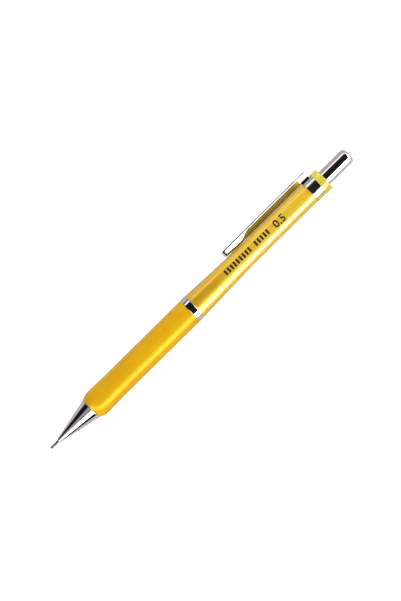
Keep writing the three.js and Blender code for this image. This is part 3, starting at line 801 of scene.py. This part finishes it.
@dataclass
class Nose:
    """Cone, lead sleeve, retainer and the lead itself."""

    shop: Workshop
    tip_radius: float = 0.85
    tip_edge: float = 0.12
    back_edge: float = 0.1
    spigot_radius: float = 3.0
    spigot_bore: float = 2.65
    thread_radius: float = 3.15
    thread_pitch: float = 0.75
    thread_turns: float = 8.5
    sleeve_bore: float = 0.3
    room_radius: float = 1.8
    retainer_gap: float = 0.015

    def build(self) -> None:
        """Makes the nose's pieces."""
        cone, sleeve = Extent.of("nose_cone"), Extent.of("lead_sleeve")
        retainer, lead = Extent.of("lead_retainer"), Extent.of("writing_lead")
        stop = Extent.of("clutch_sleeve").front - 0.02
        grip = Extent.of("rubber_grip")
        shoulder = grip.front - 0.05
        self._sleeve(sleeve)
        tip, back = self.tip_edge, self.back_edge
        outline = [
            (cone.front, sleeve.radius + 0.015), (cone.front, self.tip_radius - tip),
            *arc((cone.front + tip, self.tip_radius - tip), (tip, tip), 180, 100, 5),
            (shoulder - back, cone.radius - 0.03),
            *arc((shoulder - back, cone.radius - back - 0.02), (back, back), 75, 0, 4),
            (shoulder, self.spigot_radius), (cone.back, self.spigot_radius),
            (cone.back, self.spigot_bore), (stop, self.spigot_bore), (stop, self.room_radius),
            (retainer.back + 0.02, self.room_radius),
            (retainer.back + 0.02, retainer.radius + self.retainer_gap),
            (retainer.front - 0.02, retainer.radius + self.retainer_gap), (retainer.front - 0.02, 0.4),
            (sleeve.back + 0.02, 0.4), (sleeve.back + 0.02, sleeve.radius + 0.015),
        ]
        ridge = [
            (shoulder + 0.45, self.spigot_radius - 0.05), (shoulder + 0.6, self.thread_radius),
            (shoulder + 0.72, self.thread_radius), (shoulder + 0.87, self.spigot_radius - 0.05),
        ]
        body = Turning(outline, rounding=0.03, steps=128)
        thread = Helix(ridge, self.thread_turns, self.thread_pitch, 48)
        parts = [body.mesh(), thread.mesh()]
        self.shop.piece("chrome_nose_cone", parts, "plating_cone", Body.NOSE, "nose_cone")
        self._retainer(retainer)
        point = [
            (lead.front, 0.0), (lead.front, lead.radius - 0.03), (lead.front + 0.03, lead.radius),
            (lead.back, lead.radius), (lead.back, 0.0),
        ]
        self.shop.turned("lead_stick", point, "graphite", Body.LEAD, "writing_lead", 0.01, 32)

    def _sleeve(self, sleeve: Extent) -> None:
        """Drawn steel pipe with a rolled mouth."""
        wall = sleeve.radius - self.sleeve_bore
        half = wall / 2
        mouth = arc((sleeve.front + half, self.sleeve_bore + half), (half, half), 270, 90, 8)
        outline = [*mouth, (sleeve.back, sleeve.radius), (sleeve.back, self.sleeve_bore)]
        self.shop.turned("lead_pipe", outline, "steel_sleeve", Body.NOSE, "lead_sleeve", 0.02, 48)

    def _retainer(self, retainer: Extent) -> None:
        """Rubber bush with a waisted outside and a lip at the lead."""
        middle = (retainer.front + retainer.back) / 2
        outline = [
            (retainer.front, self.sleeve_bore), (retainer.front, retainer.radius - 0.15),
            (retainer.front + 0.2, retainer.radius), (middle - 0.4, retainer.radius),
            (middle, retainer.radius - 0.2), (middle + 0.4, retainer.radius),
            (retainer.back - 0.2, retainer.radius), (retainer.back, retainer.radius - 0.2),
            (retainer.back, 0.7), (retainer.back - 0.9, self.sleeve_bore),
        ]
        self.shop.turned("rubber_retainer", outline, "rubber_black", Body.NOSE, "lead_retainer", 0.04, 48)


@dataclass
class Clutch:
    """Clutch sleeve, ring, the three jaws and their stem, and the return spring."""

    shop: Workshop
    sleeve_bore: float = 2.0
    ring_bore: float = 1.2
    finger_radius: float = 0.95
    finger_bore: float = 0.45
    lead_bore: float = 0.295
    jaw_angle: float = 108.0
    land: float = 0.63
    taper: float = 1.4
    stem_radius: float = 1.05
    wire_radius: float = 0.2
    spring_turns: float = 8.0
    keep_on_push: float = 0.716

    def build(self) -> None:
        """Makes the clutch's pieces."""
        sleeve, ring = Extent.of("clutch_sleeve"), Extent.of("clutch_ring")
        tube = [
            (sleeve.front, self.sleeve_bore), (sleeve.front, sleeve.radius - 0.1),
            (sleeve.front + 0.1, sleeve.radius), (sleeve.back - 1.0, sleeve.radius),
            (sleeve.back - 0.8, sleeve.radius - 0.15), (sleeve.back, sleeve.radius - 0.15),
            (sleeve.back, self.sleeve_bore),
        ]
        self.shop.turned("clutch_tube", tube, "plastic_white", Body.NOSE_CARRIER, "clutch_sleeve", 0.03, 72)
        hoop = [
            (ring.front, self.ring_bore + 0.12), (ring.front, ring.radius), (ring.back, ring.radius),
            (ring.back, self.ring_bore), (ring.front + 0.3, self.ring_bore),
        ]
        self.shop.turned("brass_clutch_ring", hoop, "brass_turned", Body.RING, "clutch_ring", 0.1, 72)
        self._jaws(ring)
        self._stem()
        self._spring()

    def _jaws(self, ring: Extent) -> None:
        """Three thirds of a collet, each on its own body."""
        front = min(Extent.of(f"chuck_jaw_{i}").front for i in (1, 2, 3))
        back = Extent.of("chuck_jaw_1").back
        head = 1.45
        land_front = ring.front - self.land - 0.385
        land_back = land_front + self.land
        outline = [
            (front, self.lead_bore), (front, head - 0.12), (land_front, head), (land_back, head),
            (land_back + self.taper, self.finger_radius), (back, self.finger_radius),
            (back, self.finger_bore), (land_back + self.taper, self.finger_bore),
            (land_back + self.taper - 0.5, self.lead_bore),
        ]
        for i in (1, 2, 3):
            middle = 90.0 + 120.0 * (i - 1)
            third = Turning(outline, 0.03, 20, middle - self.jaw_angle / 2, self.jaw_angle).mesh()
            self.shop.piece(f"brass_jaw_{i}", [third], "brass_turned", Body(f"jaw_{i}"), f"chuck_jaw_{i}")

    def _stem(self) -> None:
        """Stem behind the jaws, with a barbed tail."""
        stem = Extent.of("chuck_body")
        tail = stem.back - 8.4
        outline = [
            (stem.front, self.finger_bore), (stem.front, self.stem_radius), (tail, self.stem_radius),
            (tail + 0.4, stem.radius), (tail + 2.2, stem.radius), (tail + 2.4, stem.radius - 0.15),
            (tail + 3.4, stem.radius - 0.15), (tail + 3.6, stem.radius), (stem.back, stem.radius),
            (stem.back, self.finger_bore),
        ]
        self.shop.turned("brass_stem", outline, "brass_turned", Body.PUSH_UNIT, "chuck_body", 0.04, 48)

    def _spring(self) -> None:
        """Coil spring: a helix of round wire that fills the spring's box."""
        low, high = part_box("return_spring")
        front, back = low.x / MM, high.x / MM
        radius = (high.z - low.z) / 2 / MM - self.wire_radius
        run = back - front - 2 * self.wire_radius
        start = (front + self.wire_radius, radius)
        section = arc(start, (self.wire_radius, self.wire_radius), 0, 330, 11)
        coil = Helix(section, self.spring_turns, run / self.spring_turns, 40)
        made = self.shop.piece("coil_spring", [coil.mesh()], "steel_drawn", Body.BARREL, "return_spring")
        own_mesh(made)


@dataclass
class PushUnit:
    """Connector, lead tube, eraser and push button."""

    shop: Workshop
    plug_radius: float = 1.9
    stem_room: float = 1.35
    tube_bore: float = 1.95
    button_wall: float = 0.4
    button_flat: float = 1.2
    dome: float = 1.35
    socket: float = 2.32

    def build(self) -> None:
        """Makes the pieces that the button's push goes through."""
        joint, tube = Extent.of("chuck_connector"), Extent.of("lead_tube")
        stem = Extent.of("chuck_body")
        flange = joint.front + 1.55
        outline = [
            (joint.front, self.stem_room), (joint.front, joint.radius), (flange, joint.radius),
            (flange, self.plug_radius), (joint.back, self.plug_radius), (joint.back - 2.2, 0.45),
            (stem.back + 0.02, 0.45), (stem.back + 0.02, self.stem_room),
        ]
        unit, smoke = Body.PUSH_UNIT, "plastic_smoke"
        self.shop.turned("tube_connector", outline, smoke, unit, "chuck_connector", 0.08, 64)
        pipe = [
            (tube.front, self.tube_bore), (tube.front, tube.radius), (tube.back, tube.radius),
            (tube.back, self.tube_bore),
        ]
        self.shop.turned("lead_reservoir", pipe, smoke, unit, "lead_tube", 0.08, 64)
        self._eraser(tube)
        self._button()

    def _eraser(self, tube: Extent) -> None:
        """Eraser and the crimped cup that holds it."""
        holder, block = Extent.of("eraser_holder"), Extent.of("eraser")
        cup_radius = self.tube_bore - 0.05
        cup = [
            (holder.front, 0.0), (holder.front, cup_radius - 0.12), (holder.front + 0.12, cup_radius),
            (tube.back - 1.2, cup_radius), (tube.back - 1.0, cup_radius - 0.1),
            (tube.back - 0.8, cup_radius), (tube.back + 0.02, cup_radius),
            (tube.back + 0.02, holder.radius), (holder.back, holder.radius),
            (holder.back, block.radius + 0.015), (holder.front + 0.4, block.radius + 0.015),
            (holder.front + 0.4, 0.0),
        ]
        self.shop.turned("eraser_cup", cup, "steel_drawn", Body.ERASER_UNIT, "eraser_holder", 0.04, 64)
        corner = 0.5
        rounded = arc((block.back - corner, block.radius - corner), (corner, corner), 90, 0, 6)
        stick = [(block.front, 0.0), (block.front, block.radius), *rounded, (block.back, 0.0)]
        self.shop.turned("eraser_block", stick, "eraser", Body.ERASER_UNIT, "eraser", 0.05, 64)

    def _button(self) -> None:
        """Thin chromed cap with a domed end."""
        cap = Extent.of("push_button")
        inner = cap.radius - self.button_wall
        dome_start = cap.back - self.dome
        outside = arc((dome_start, self.button_flat), (self.dome, cap.radius - self.button_flat), 90, 4, 14)
        inside = arc((dome_start - 0.2, self.button_flat), (0.75, inner - self.button_flat), 0, 90, 8)
        outline = [
            (cap.front, self.socket), (cap.front, cap.radius - 0.12), (cap.front + 0.12, cap.radius),
            *outside,
            (cap.back, self.button_flat * 0.8), (cap.back, 0.0), (cap.back - 0.8, 0.0),
            *inside,
            (cap.front + 4.4, inner), (cap.front + 4.4, self.socket),
        ]
        self.shop.turned("chrome_button", outline, "plating_button", Body.BUTTON, "push_button", 0.03, 128)


@dataclass
class BodyShell:
    """Inner barrel, soft grip, ring, lacquered barrel and end collar."""

    shop: Workshop
    core_mouth: float = 3.2
    core_spigot: float = 3.6
    core_bore: float = 2.7
    shoulder_bore: float = 1.5
    grip_bore: float = 3.85
    grip_nose: float = 3.1
    grip_front_radius: float = 4.15
    grip_waist: float = 4.86
    grip_back: float = 4.885
    barrel_radius: float = 4.03
    flare_length: float = 27.0
    flare_power: float = 1.4
    barrel_bore: float = 3.3
    key_sweep: float = 78.0
    flange_corner: float = 0.42

    def barrel_at(self, x: float) -> float:
        """Outside radius of the lacquered barrel at a station along the axis."""
        barrel = Extent.of("upper_barrel")
        along = max(0.0, 1 - (x - barrel.front) / self.flare_length)
        return self.barrel_radius + (barrel.radius - self.barrel_radius) * along**self.flare_power

    def build(self) -> None:
        """Makes the shell's pieces."""
        self._core()
        self._grip()
        self._ring()
        self._barrel()
        self._collar()

    def _core(self) -> None:
        """Inner barrel that everything screws into or is pushed over."""
        core, ring = Extent.of("grip_core"), Extent.of("mid_ring")
        wall_front = Extent.of("nose_cone").back + 0.05
        wall_back = wall_front + 1.55
        outline = [
            (core.front, self.core_mouth), (core.front, core.radius), (ring.back, core.radius),
            (ring.back, self.core_spigot), (core.back, self.core_spigot), (core.back, self.core_bore),
            (wall_back, self.core_bore), (wall_back, self.shoulder_bore),
            (wall_front, self.shoulder_bore), (wall_front, self.core_mouth),
        ]
        self.shop.turned("inner_barrel", outline, "plastic_white", Body.BARREL, "grip_core", 0.06, 96)

    def _grip(self) -> None:
        """Soft sleeve: rounded nose, full just behind it, a slight waist."""
        grip = Extent.of("rubber_grip")
        drop = grip.radius - self.grip_front_radius
        bulge_back = grip.front + self.grip_nose + 1.0
        waist_front = bulge_back + 7.0
        outline = [(grip.back, self.grip_bore), (grip.front, self.grip_bore)]
        nose_steps = 16
        for i in range(nose_steps + 1):
            t = i / nose_steps
            outline.append((grip.front + self.grip_nose * t, grip.radius - drop * (1 - t) ** 2))
        fall_steps = 20
        for i in range(1, fall_steps + 1):
            t = i / fall_steps
            x = bulge_back + (waist_front - bulge_back) * t
            outline.append((x, grip.radius + (self.grip_waist - grip.radius) * smooth(t)))
        run = grip.back - 0.15 - waist_front
        run_steps = 12
        for i in range(1, run_steps + 1):
            t = i / run_steps
            rise = (self.grip_back - self.grip_waist) * smooth((t - 0.45) / 0.55)
            outline.append((waist_front + run * t, self.grip_waist + rise))
        outline.append((grip.back, self.grip_back - 0.1))
        self.shop.turned("soft_grip", outline, "rubber_soft_yellow", Body.BARREL, "rubber_grip", 0.08, 144)

    def _ring(self) -> None:
        """Bright ring with softened edges."""
        ring = Extent.of("mid_ring")
        corner = 0.14
        outline = [
            (ring.back, self.grip_bore), (ring.front, self.grip_bore),
            *arc((ring.front + corner, ring.radius - corner), (corner, corner), 180, 90, 6),
            *arc((ring.back - corner, ring.radius - corner), (corner, corner), 90, 0, 6),
        ]
        self.shop.turned("chrome_mid_ring", outline, "plating_ring", Body.BARREL, "mid_ring", 0.0, 128)

    def _barrel(self) -> None:
        """Lacquered barrel, a trumpet that runs out into a plain tube."""
        barrel, core = Extent.of("upper_barrel"), Extent.of("grip_core")
        collar = Extent.of("end_collar")
        rear_bore = self.barrel_radius - 0.53
        outline = []
        steps = 40
        for i in range(steps + 1):
            x = barrel.front + self.flare_length * i / steps
            outline.append((x, self.barrel_at(x)))
        outline += [
            (barrel.back - 0.12, self.barrel_radius), (barrel.back, self.barrel_radius - 0.12),
            (barrel.back, rear_bore), (collar.front - 0.03, rear_bore),
            (collar.front - 0.03, self.barrel_bore), (core.back + 0.03, self.barrel_bore),
            (core.back + 0.03, self.core_spigot + 0.05), (barrel.front, self.core_spigot + 0.05),
        ]
        lacquer = "lacquer_yellow"
        self.shop.turned("lacquered_barrel", outline, lacquer, Body.BARREL, "upper_barrel", 0.05, 144)

    def _collar(self) -> None:
        """Clear yellow collar with its key under the clip band's opening."""
        collar, band = Extent.of("end_collar"), Extent.of("clip_band")
        barrel, button = Extent.of("upper_barrel"), Extent.of("push_button")
        bore = button.radius + 0.07
        neck = self.barrel_radius - 0.33
        spigot = self.barrel_radius - 0.58
        corner = self.flange_corner
        flange_front = band.back + 0.02
        outline = [
            (collar.front, spigot - 0.4), (collar.front, spigot), (barrel.back + 0.01, spigot),
            (barrel.back + 0.01, neck), (flange_front, neck), (flange_front, collar.radius - 0.2),
            *arc((flange_front + 0.2, collar.radius - 0.2), (0.2, 0.2), 180, 90, 5),
            *arc((collar.back - corner, collar.radius - corner), (corner, corner), 90, 0, 8),
            (collar.back, bore), (band.front, bore), (band.front, spigot - 0.4),
        ]
        turned = Turning(outline, rounding=0.04, steps=144)
        rib = [
            (band.front + 0.05, neck - 0.1), (band.front + 0.05, band.radius - 0.03),
            (band.back + 0.1, band.radius - 0.03), (band.back + 0.1, neck - 0.1),
        ]
        key = Turning(rib, rounding=0.08, steps=32, start=180 - self.key_sweep / 2, sweep=self.key_sweep)
        parts = [turned.mesh(), key.mesh()]
        self.shop.piece("clear_end_collar", parts, "plastic_clear_yellow", Body.BARREL, "end_collar")


@dataclass
class Clip:
    """Pocket clip: C-shaped band, leaning head and the folded arm with its spoon."""

    shop: Workshop
    shell: BodyShell
    sheet: float = 0.45
    half_width: float = 1.6
    nose_half_width: float = 1.3
    wall_height: float = 2.6
    spoon_length: float = 10.0
    deepest: float = 5.5
    nose_height: float = 2.2
    touch_gap: float = 0.04
    bend: float = 0.35
    spoon_lean: float = 24.0
    wall_lean: float = 36.0
    turn_top: float = 11.2
    turn_bottom: float = 7.4
    band_opening: float = 86.0
    band_corner: float = 1.0
    head_lean: float = 20.5
    head_slope: float = 1.5
    lip: float = 1.1
    head_turn_top: float = 0.15
    head_turn_bottom: float = 0.75

    def __post_init__(self) -> None:
        """Reads the clip's boxes and the height of its outer face from the frame."""
        self.arm, self.band = Extent.of("clip_arm"), Extent.of("clip_band")
        self.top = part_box("clip_band")[1].y / MM

    def build(self) -> None:
        """Makes the clip, band and arm, as one piece."""
        parts = [self._hoop(), self._fold()]
        clip = self.shop.piece("pocket_clip", parts, "plating_clip_painted_shade", None, "clip_band", "clip_arm")
        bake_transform(clip)

    def _hoop(self) -> BMesh:
        """C-shaped band with rounded ends."""
        front, back, outer = self.band.front, self.band.back, self.band.radius
        outline = [(front, outer - 0.5), (front, outer), (back, outer), (back, outer - 0.5)]
        sweep = FULL_TURN - self.band_opening
        bm = Turning(outline, rounding=0.0, steps=110, start=-sweep / 2, sweep=sweep).mesh()
        ends = []
        for edge in bm.edges:
            a, b = (v.co for v in edge.verts)
            across = abs(math.hypot(a.y, a.z) - math.hypot(b.y, b.z)) > 0.25 * MM
            low = max(a.y, b.y) < -0.5 * outer * MM
            if across and low and abs(a.x - b.x) < WELD and edge.calc_face_angle(0.0) > 1.2:
                ends.append(edge)
        break_edges(bm, ends, self.band_corner, 6)
        rims = [e for e in bm.edges if e.is_manifold and e.calc_face_angle(0.0) > 1.0]
        break_edges(bm, rims, 0.07, 2)
        tidy(bm)
        return bm

    def _roof(self, x: float) -> float:
        """Height of the outer face, which rounds down to the band behind the head."""
        t = (x - (self.band.back - self.head_slope)) / self.head_slope
        if t <= 0:
            return self.top
        drop = self.top - self.band.radius - 0.1
        return self.top - drop * (1 - math.sqrt(max(0.0, 1 - min(1.0, t) ** 2)))

    def _underside(self, x: float) -> float:
        """Height of the lowest point of the arm's side view."""
        low_x = self.arm.front + self.deepest
        low_y = self.shell.barrel_at(low_x) + self.touch_gap
        if x < low_x:
            t = (x - self.arm.front) / self.deepest
            start = self.top - self.nose_height
            return start + (low_y - start) * math.sin(t * math.pi / 2)
        t = (x - low_x) / (self.spoon_length - self.deepest)
        return low_y + (self.top - self.wall_height - low_y) * smooth(t)

    def _lean(self, x: float, down: float) -> float:
        """How far the arm's side leans in.

        Args:
            x: station along the axis.
            down: 0 at the top of the side, 1 at its lower edge.

        Returns:
            The lean in degrees.
        """
        ahead = x - self.arm.front
        turn = self.turn_top + (self.turn_bottom - self.turn_top) * down
        share = smooth((ahead - turn) / 1.1 + 0.5)
        lean = self.spoon_lean + (self.wall_lean - self.spoon_lean) * share
        stop = self.band.front - self.head_turn_top - (self.head_turn_bottom - self.head_turn_top) * down
        lean += (self.head_lean - lean) * smooth((x - stop) / 0.5 + 0.5)
        return lean * smooth((ahead - self.lip) / 0.3)

    def _contour(self, x: float) -> list[Point]:
        """Half of the folded sheet's section, from the middle of its top round to its underside.

        Args:
            x: station along the axis.

        Returns:
            Points of height and half-width.
        """
        ahead = x - self.arm.front
        roof = self._roof(x)
        bottom = min(self._underside(x), roof - 0.2)
        bend = min(self.bend, 0.4 * (roof - bottom))
        dish = 0.22 * smooth((ahead - 0.5) / 2.0) * (1 - smooth((ahead - 6.0) / 4.0))
        shoulder = self.half_width + (self.nose_half_width - self.half_width) * (1 - smooth(ahead / 6.0))
        points = [(roof - dish, 0.0), (roof - dish * 0.6, shoulder * 0.4)]
        top_lean = self._lean(x, 0.0)
        points += arc((roof - bend, shoulder - bend), (bend, bend), 0, 90 + top_lean, 12)
        side_top, width = points[-1]
        depth = side_top - bottom
        steps = 14
        for k in range(steps):
            lean = math.radians(self._lean(x, (k + 0.5) / steps))
            width -= depth / steps * math.tan(lean)
            points.append((side_top - depth * (k + 1) / steps, max(0.12, width)))
        edge = points[-1][1]
        lip = min(0.07, edge * 0.5)
        groove = smooth((ahead - self.turn_bottom) / 3.0) * (1 - smooth((x - self.band.front + 1.2) / 0.8))
        inside = bottom + (roof - self.sheet - bottom) * 0.85 * groove + 0.02
        points += [(bottom, edge - lip * 0.5), (bottom + 0.02, edge - lip)]
        points.append((inside, max(0.05, edge - lip) * 0.9))
        curl = min(1.0, ahead / (0.5 * self.lip))
        close = math.sqrt(max(0.0, 1 - (1 - curl) ** 2))
        middle = roof - 0.45 * (roof - bottom)
        return [(middle + (y - middle) * (0.7 + 0.3 * close), z * (0.4 + 0.6 * close)) for y, z in points]

    def _fold(self) -> BMesh:
        """Folded sheet from the spoon to the head: sides that lean in, rounded shoulders."""
        nose = [self.arm.front + self.lip * (i / 12) ** 1.5 for i in range(12)]
        spoon = [self.arm.front + self.lip + 0.12 * i for i in range(100)]
        plain = [spoon[-1] + (self.band.front - 1.3 - spoon[-1]) * i / 30 for i in range(1, 31)]
        head = [plain[-1] + (self.band.back - 0.03 - plain[-1]) * i / 48 for i in range(1, 49)]
        loops = []
        for x in nose + spoon + plain + head:
            half = self._contour(x)
            under = (half[-1][0], 0.0)
            low = [(y, -z) for y, z in reversed(half[1:])]
            loops.append([(x, y, z) for y, z in half + [under] + low])
        return loft(loops)


@dataclass
class BarrelPrint:
    """Plain printed marks on the lacquer: a row of bars and the lead's nominal size."""

    shop: Workshop
    shell: BodyShell
    rows: tuple[tuple[float, int], ...] = ((84.6, 9), (98.8, 5))
    bar_pitch: float = 1.4
    bar_width: float = 0.75
    bar_height: float = 2.0
    label: str = "0.5"
    label_from: float = 107.4
    label_size: float = 4.0
    lift: float = 0.012
    across: float = 0.7

    def build(self) -> None:
        """Makes the print as a thin skin on the barrel."""
        bars = bmesh.new()
        centres = [start + self.bar_pitch * i for start, count in self.rows for i in range(count)]
        for centre in centres:
            made = bmesh.ops.create_grid(bars, x_segments=3, y_segments=6, size=0.5)
            for vert in made["verts"]:
                vert.co.x = centre + vert.co.x * self.bar_width
                vert.co.y = vert.co.y * self.bar_height
        number = self._number()
        for part in (bars, number):
            self._wrap(part)
        self.shop.piece("size_print", [bars, number], "ink_black", Body.BARREL)

    def _number(self) -> BMesh:
        """The lead size as a flat mesh, in millimetres along the barrel."""
        curve = bpy.data.curves.new("lead_size", "FONT")
        curve.body = self.label
        curve.size = self.label_size
        curve.resolution_u = 6
        curve.offset = 0.09
        text = link("lead_size", curve)
        bpy.context.view_layer.update()
        graph = bpy.context.evaluated_depsgraph_get()
        flat = bpy.data.meshes.new_from_object(text.evaluated_get(graph))
        bm = bmesh.new()
        bm.from_mesh(flat)
        bpy.data.objects.remove(text)
        bpy.data.curves.remove(curve)
        bpy.data.meshes.remove(flat)
        bmesh.ops.remove_doubles(bm, verts=bm.verts, dist=1e-4)
        bmesh.ops.triangulate(bm, faces=bm.faces)
        bmesh.ops.subdivide_edges(bm, edges=bm.edges, cuts=1)
        height = max(v.co.y for v in bm.verts)
        for vert in bm.verts:
            vert.co.x += self.label_from
            vert.co.y -= height / 2
        return bm

    def _wrap(self, bm: BMesh) -> None:
        """Lays a flat mesh on the barrel, facing up."""
        for vert in bm.verts:
            x, v = vert.co.x, vert.co.y + self.across
            radius = self.shell.barrel_at(x) + self.lift
            angle = v / radius
            vert.co = Vector((x, radius * math.sin(angle), radius * math.cos(angle))) * MM
        bm.normal_update()
        up = [f for f in bm.faces if f.normal.z < 0]
        bmesh.ops.reverse_faces(bm, faces=up)


# ---------------------------------------------------------------- studio


@dataclass
class Card:
    """A soft light card that faces the pencil."""

    name: str
    polar: float
    azimuth: float
    width: float
    height: float
    distance: float
    radiance: float
    mirrored: bool = True
    washes: bool = True

    def build(self, centre: Vector, right: Vector, up: Vector) -> None:
        """Places the light.

        Args:
            centre: what it faces.
            right: the picture's right in the frame.
            up: the picture's up in the frame.
        """
        polar, azimuth = math.radians(self.polar), math.radians(self.azimuth)
        flat = right * math.cos(azimuth) + up * math.sin(azimuth)
        direction = flat * math.sin(polar) + Vector((0, 0, 1)) * math.cos(polar)
        lamp = bpy.data.lights.new(self.name, "AREA")
        lamp.shape = "RECTANGLE"
        lamp.size, lamp.size_y = self.width, self.height
        lamp.energy = self.radiance * math.pi * self.width * self.height
        obj = link(self.name, lamp)
        obj.visible_glossy, obj.visible_diffuse = self.mirrored, self.washes
        side = Vector((0, 0, 1)).cross(direction).normalized()
        tangent = direction.cross(side).normalized()
        basis = Matrix((side, tangent, direction)).transposed().to_4x4()
        obj.matrix_world = Matrix.Translation(centre + direction * self.distance) @ basis


@dataclass
class Studio:
    """Camera, floor, soft light cards and the dark side behind the camera."""

    picture_turn: float = -44.66
    camera_distance: float = 0.5705
    lens: float = 100.0
    aim_right: float = 0.00017
    aim_up: float = 0.00026
    world_dark: float = 0.013
    cards: list[Card] = field(
        default_factory=lambda: [
            Card("card_low", 46.8, -90.0, 1.4, 0.29, 0.6, 5.6, washes=False),
            Card("card_side", 56.3, 0.0, 1.3, 0.5, 0.6, 5.6, washes=False),
            Card("card_left", 41.0, 205.0, 0.3, 0.3, 0.6, 0.32, washes=False),
            Card("fill_low", 47.5, -90.0, 1.4, 0.48, 0.6, 5.6, mirrored=False),
            Card("card_high", 64.0, 90.0, 1.16, 0.3, 0.6, 1.1, washes=False),
            Card("fill_high", 73.0, 90.0, 1.16, 0.37, 0.6, 6.8, mirrored=False),
        ]
    )

    def build(self, palette: Palette) -> None:
        """Sets up the view and the light.

        Args:
            palette: where the floor's finish comes from.
        """
        low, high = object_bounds()
        tip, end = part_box("lead_sleeve")[0].x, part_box("push_button")[1].x
        centre = Vector(((tip + end) / 2, 0, 0))
        turn = Matrix.Rotation(math.radians(self.picture_turn), 3, "Z")
        right, up = turn @ Vector((1, 0, 0)), turn @ Vector((0, 1, 0))
        camera = bpy.data.cameras.new("camera")
        camera.lens = self.lens
        camera.sensor_width = 36.0
        camera.clip_start, camera.clip_end = 0.01, 20.0
        eye = link("camera", camera)
        aim = centre + right * self.aim_right + up * self.aim_up
        eye.location = aim + Vector((0, 0, self.camera_distance))
        eye.rotation_euler = Euler((0, 0, math.radians(self.picture_turn)))
        bpy.context.scene.camera = eye
        for card in self.cards:
            card.build(centre, right, up)
        self._floor(palette, low.z)
        self._world()
        view = bpy.context.scene.view_settings
        view.view_transform = "Standard"
        view.look = "None"
        view.exposure, view.gamma = 0.0, 1.0

    @staticmethod
    def _floor(palette: Palette, height: float) -> None:
        """Large pale plane just under the pencil."""
        bm = bmesh.new()
        bmesh.ops.create_grid(bm, x_segments=1, y_segments=1, size=2.5)
        for vert in bm.verts:
            vert.co.z = height - 0.00002
        data = bpy.data.meshes.new("floor")
        bm.to_mesh(data)
        bm.free()
        data.materials.append(palette.floor)
        link("floor", data)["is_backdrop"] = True

    def _world(self) -> None:
        """Pale to the eye, dark in reflections."""
        world = bpy.data.worlds.new("studio")
        bpy.context.scene.world = world
        world.use_nodes = True
        tree = world.node_tree
        tree.nodes.clear()
        path = tree.nodes.new("ShaderNodeLightPath")
        seen, lit = tree.nodes.new("ShaderNodeBackground"), tree.nodes.new("ShaderNodeBackground")
        seen.inputs["Color"].default_value = (1.0, 1.0, 1.0, 1.0)
        lit.inputs["Color"].default_value = (1.0, 0.9, 0.85, 1.0)
        lit.inputs["Strength"].default_value = self.world_dark
        mix, out = tree.nodes.new("ShaderNodeMixShader"), tree.nodes.new("ShaderNodeOutputWorld")
        tree.links.new(path.outputs["Is Camera Ray"], mix.inputs[0])
        tree.links.new(lit.outputs[0], mix.inputs[1])
        tree.links.new(seen.outputs[0], mix.inputs[2])
        tree.links.new(mix.outputs[0], out.inputs[0])


def main() -> None:
    """Builds the pencil's pieces around the frame, then the studio."""
    logging.basicConfig(level=logging.INFO, format="%(name)s: %(message)s")
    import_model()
    palette = Palette()
    shop = Workshop(palette)
    shell = BodyShell(shop)
    inside = (Nose(shop), Clutch(shop), PushUnit(shop))
    for assembly in (*inside, shell, Clip(shop, shell), BarrelPrint(shop, shell)):
        assembly.build()
    Studio().build(palette)
    log.info("%d pieces", shop.count)


if __name__ == "__main__":
    main()
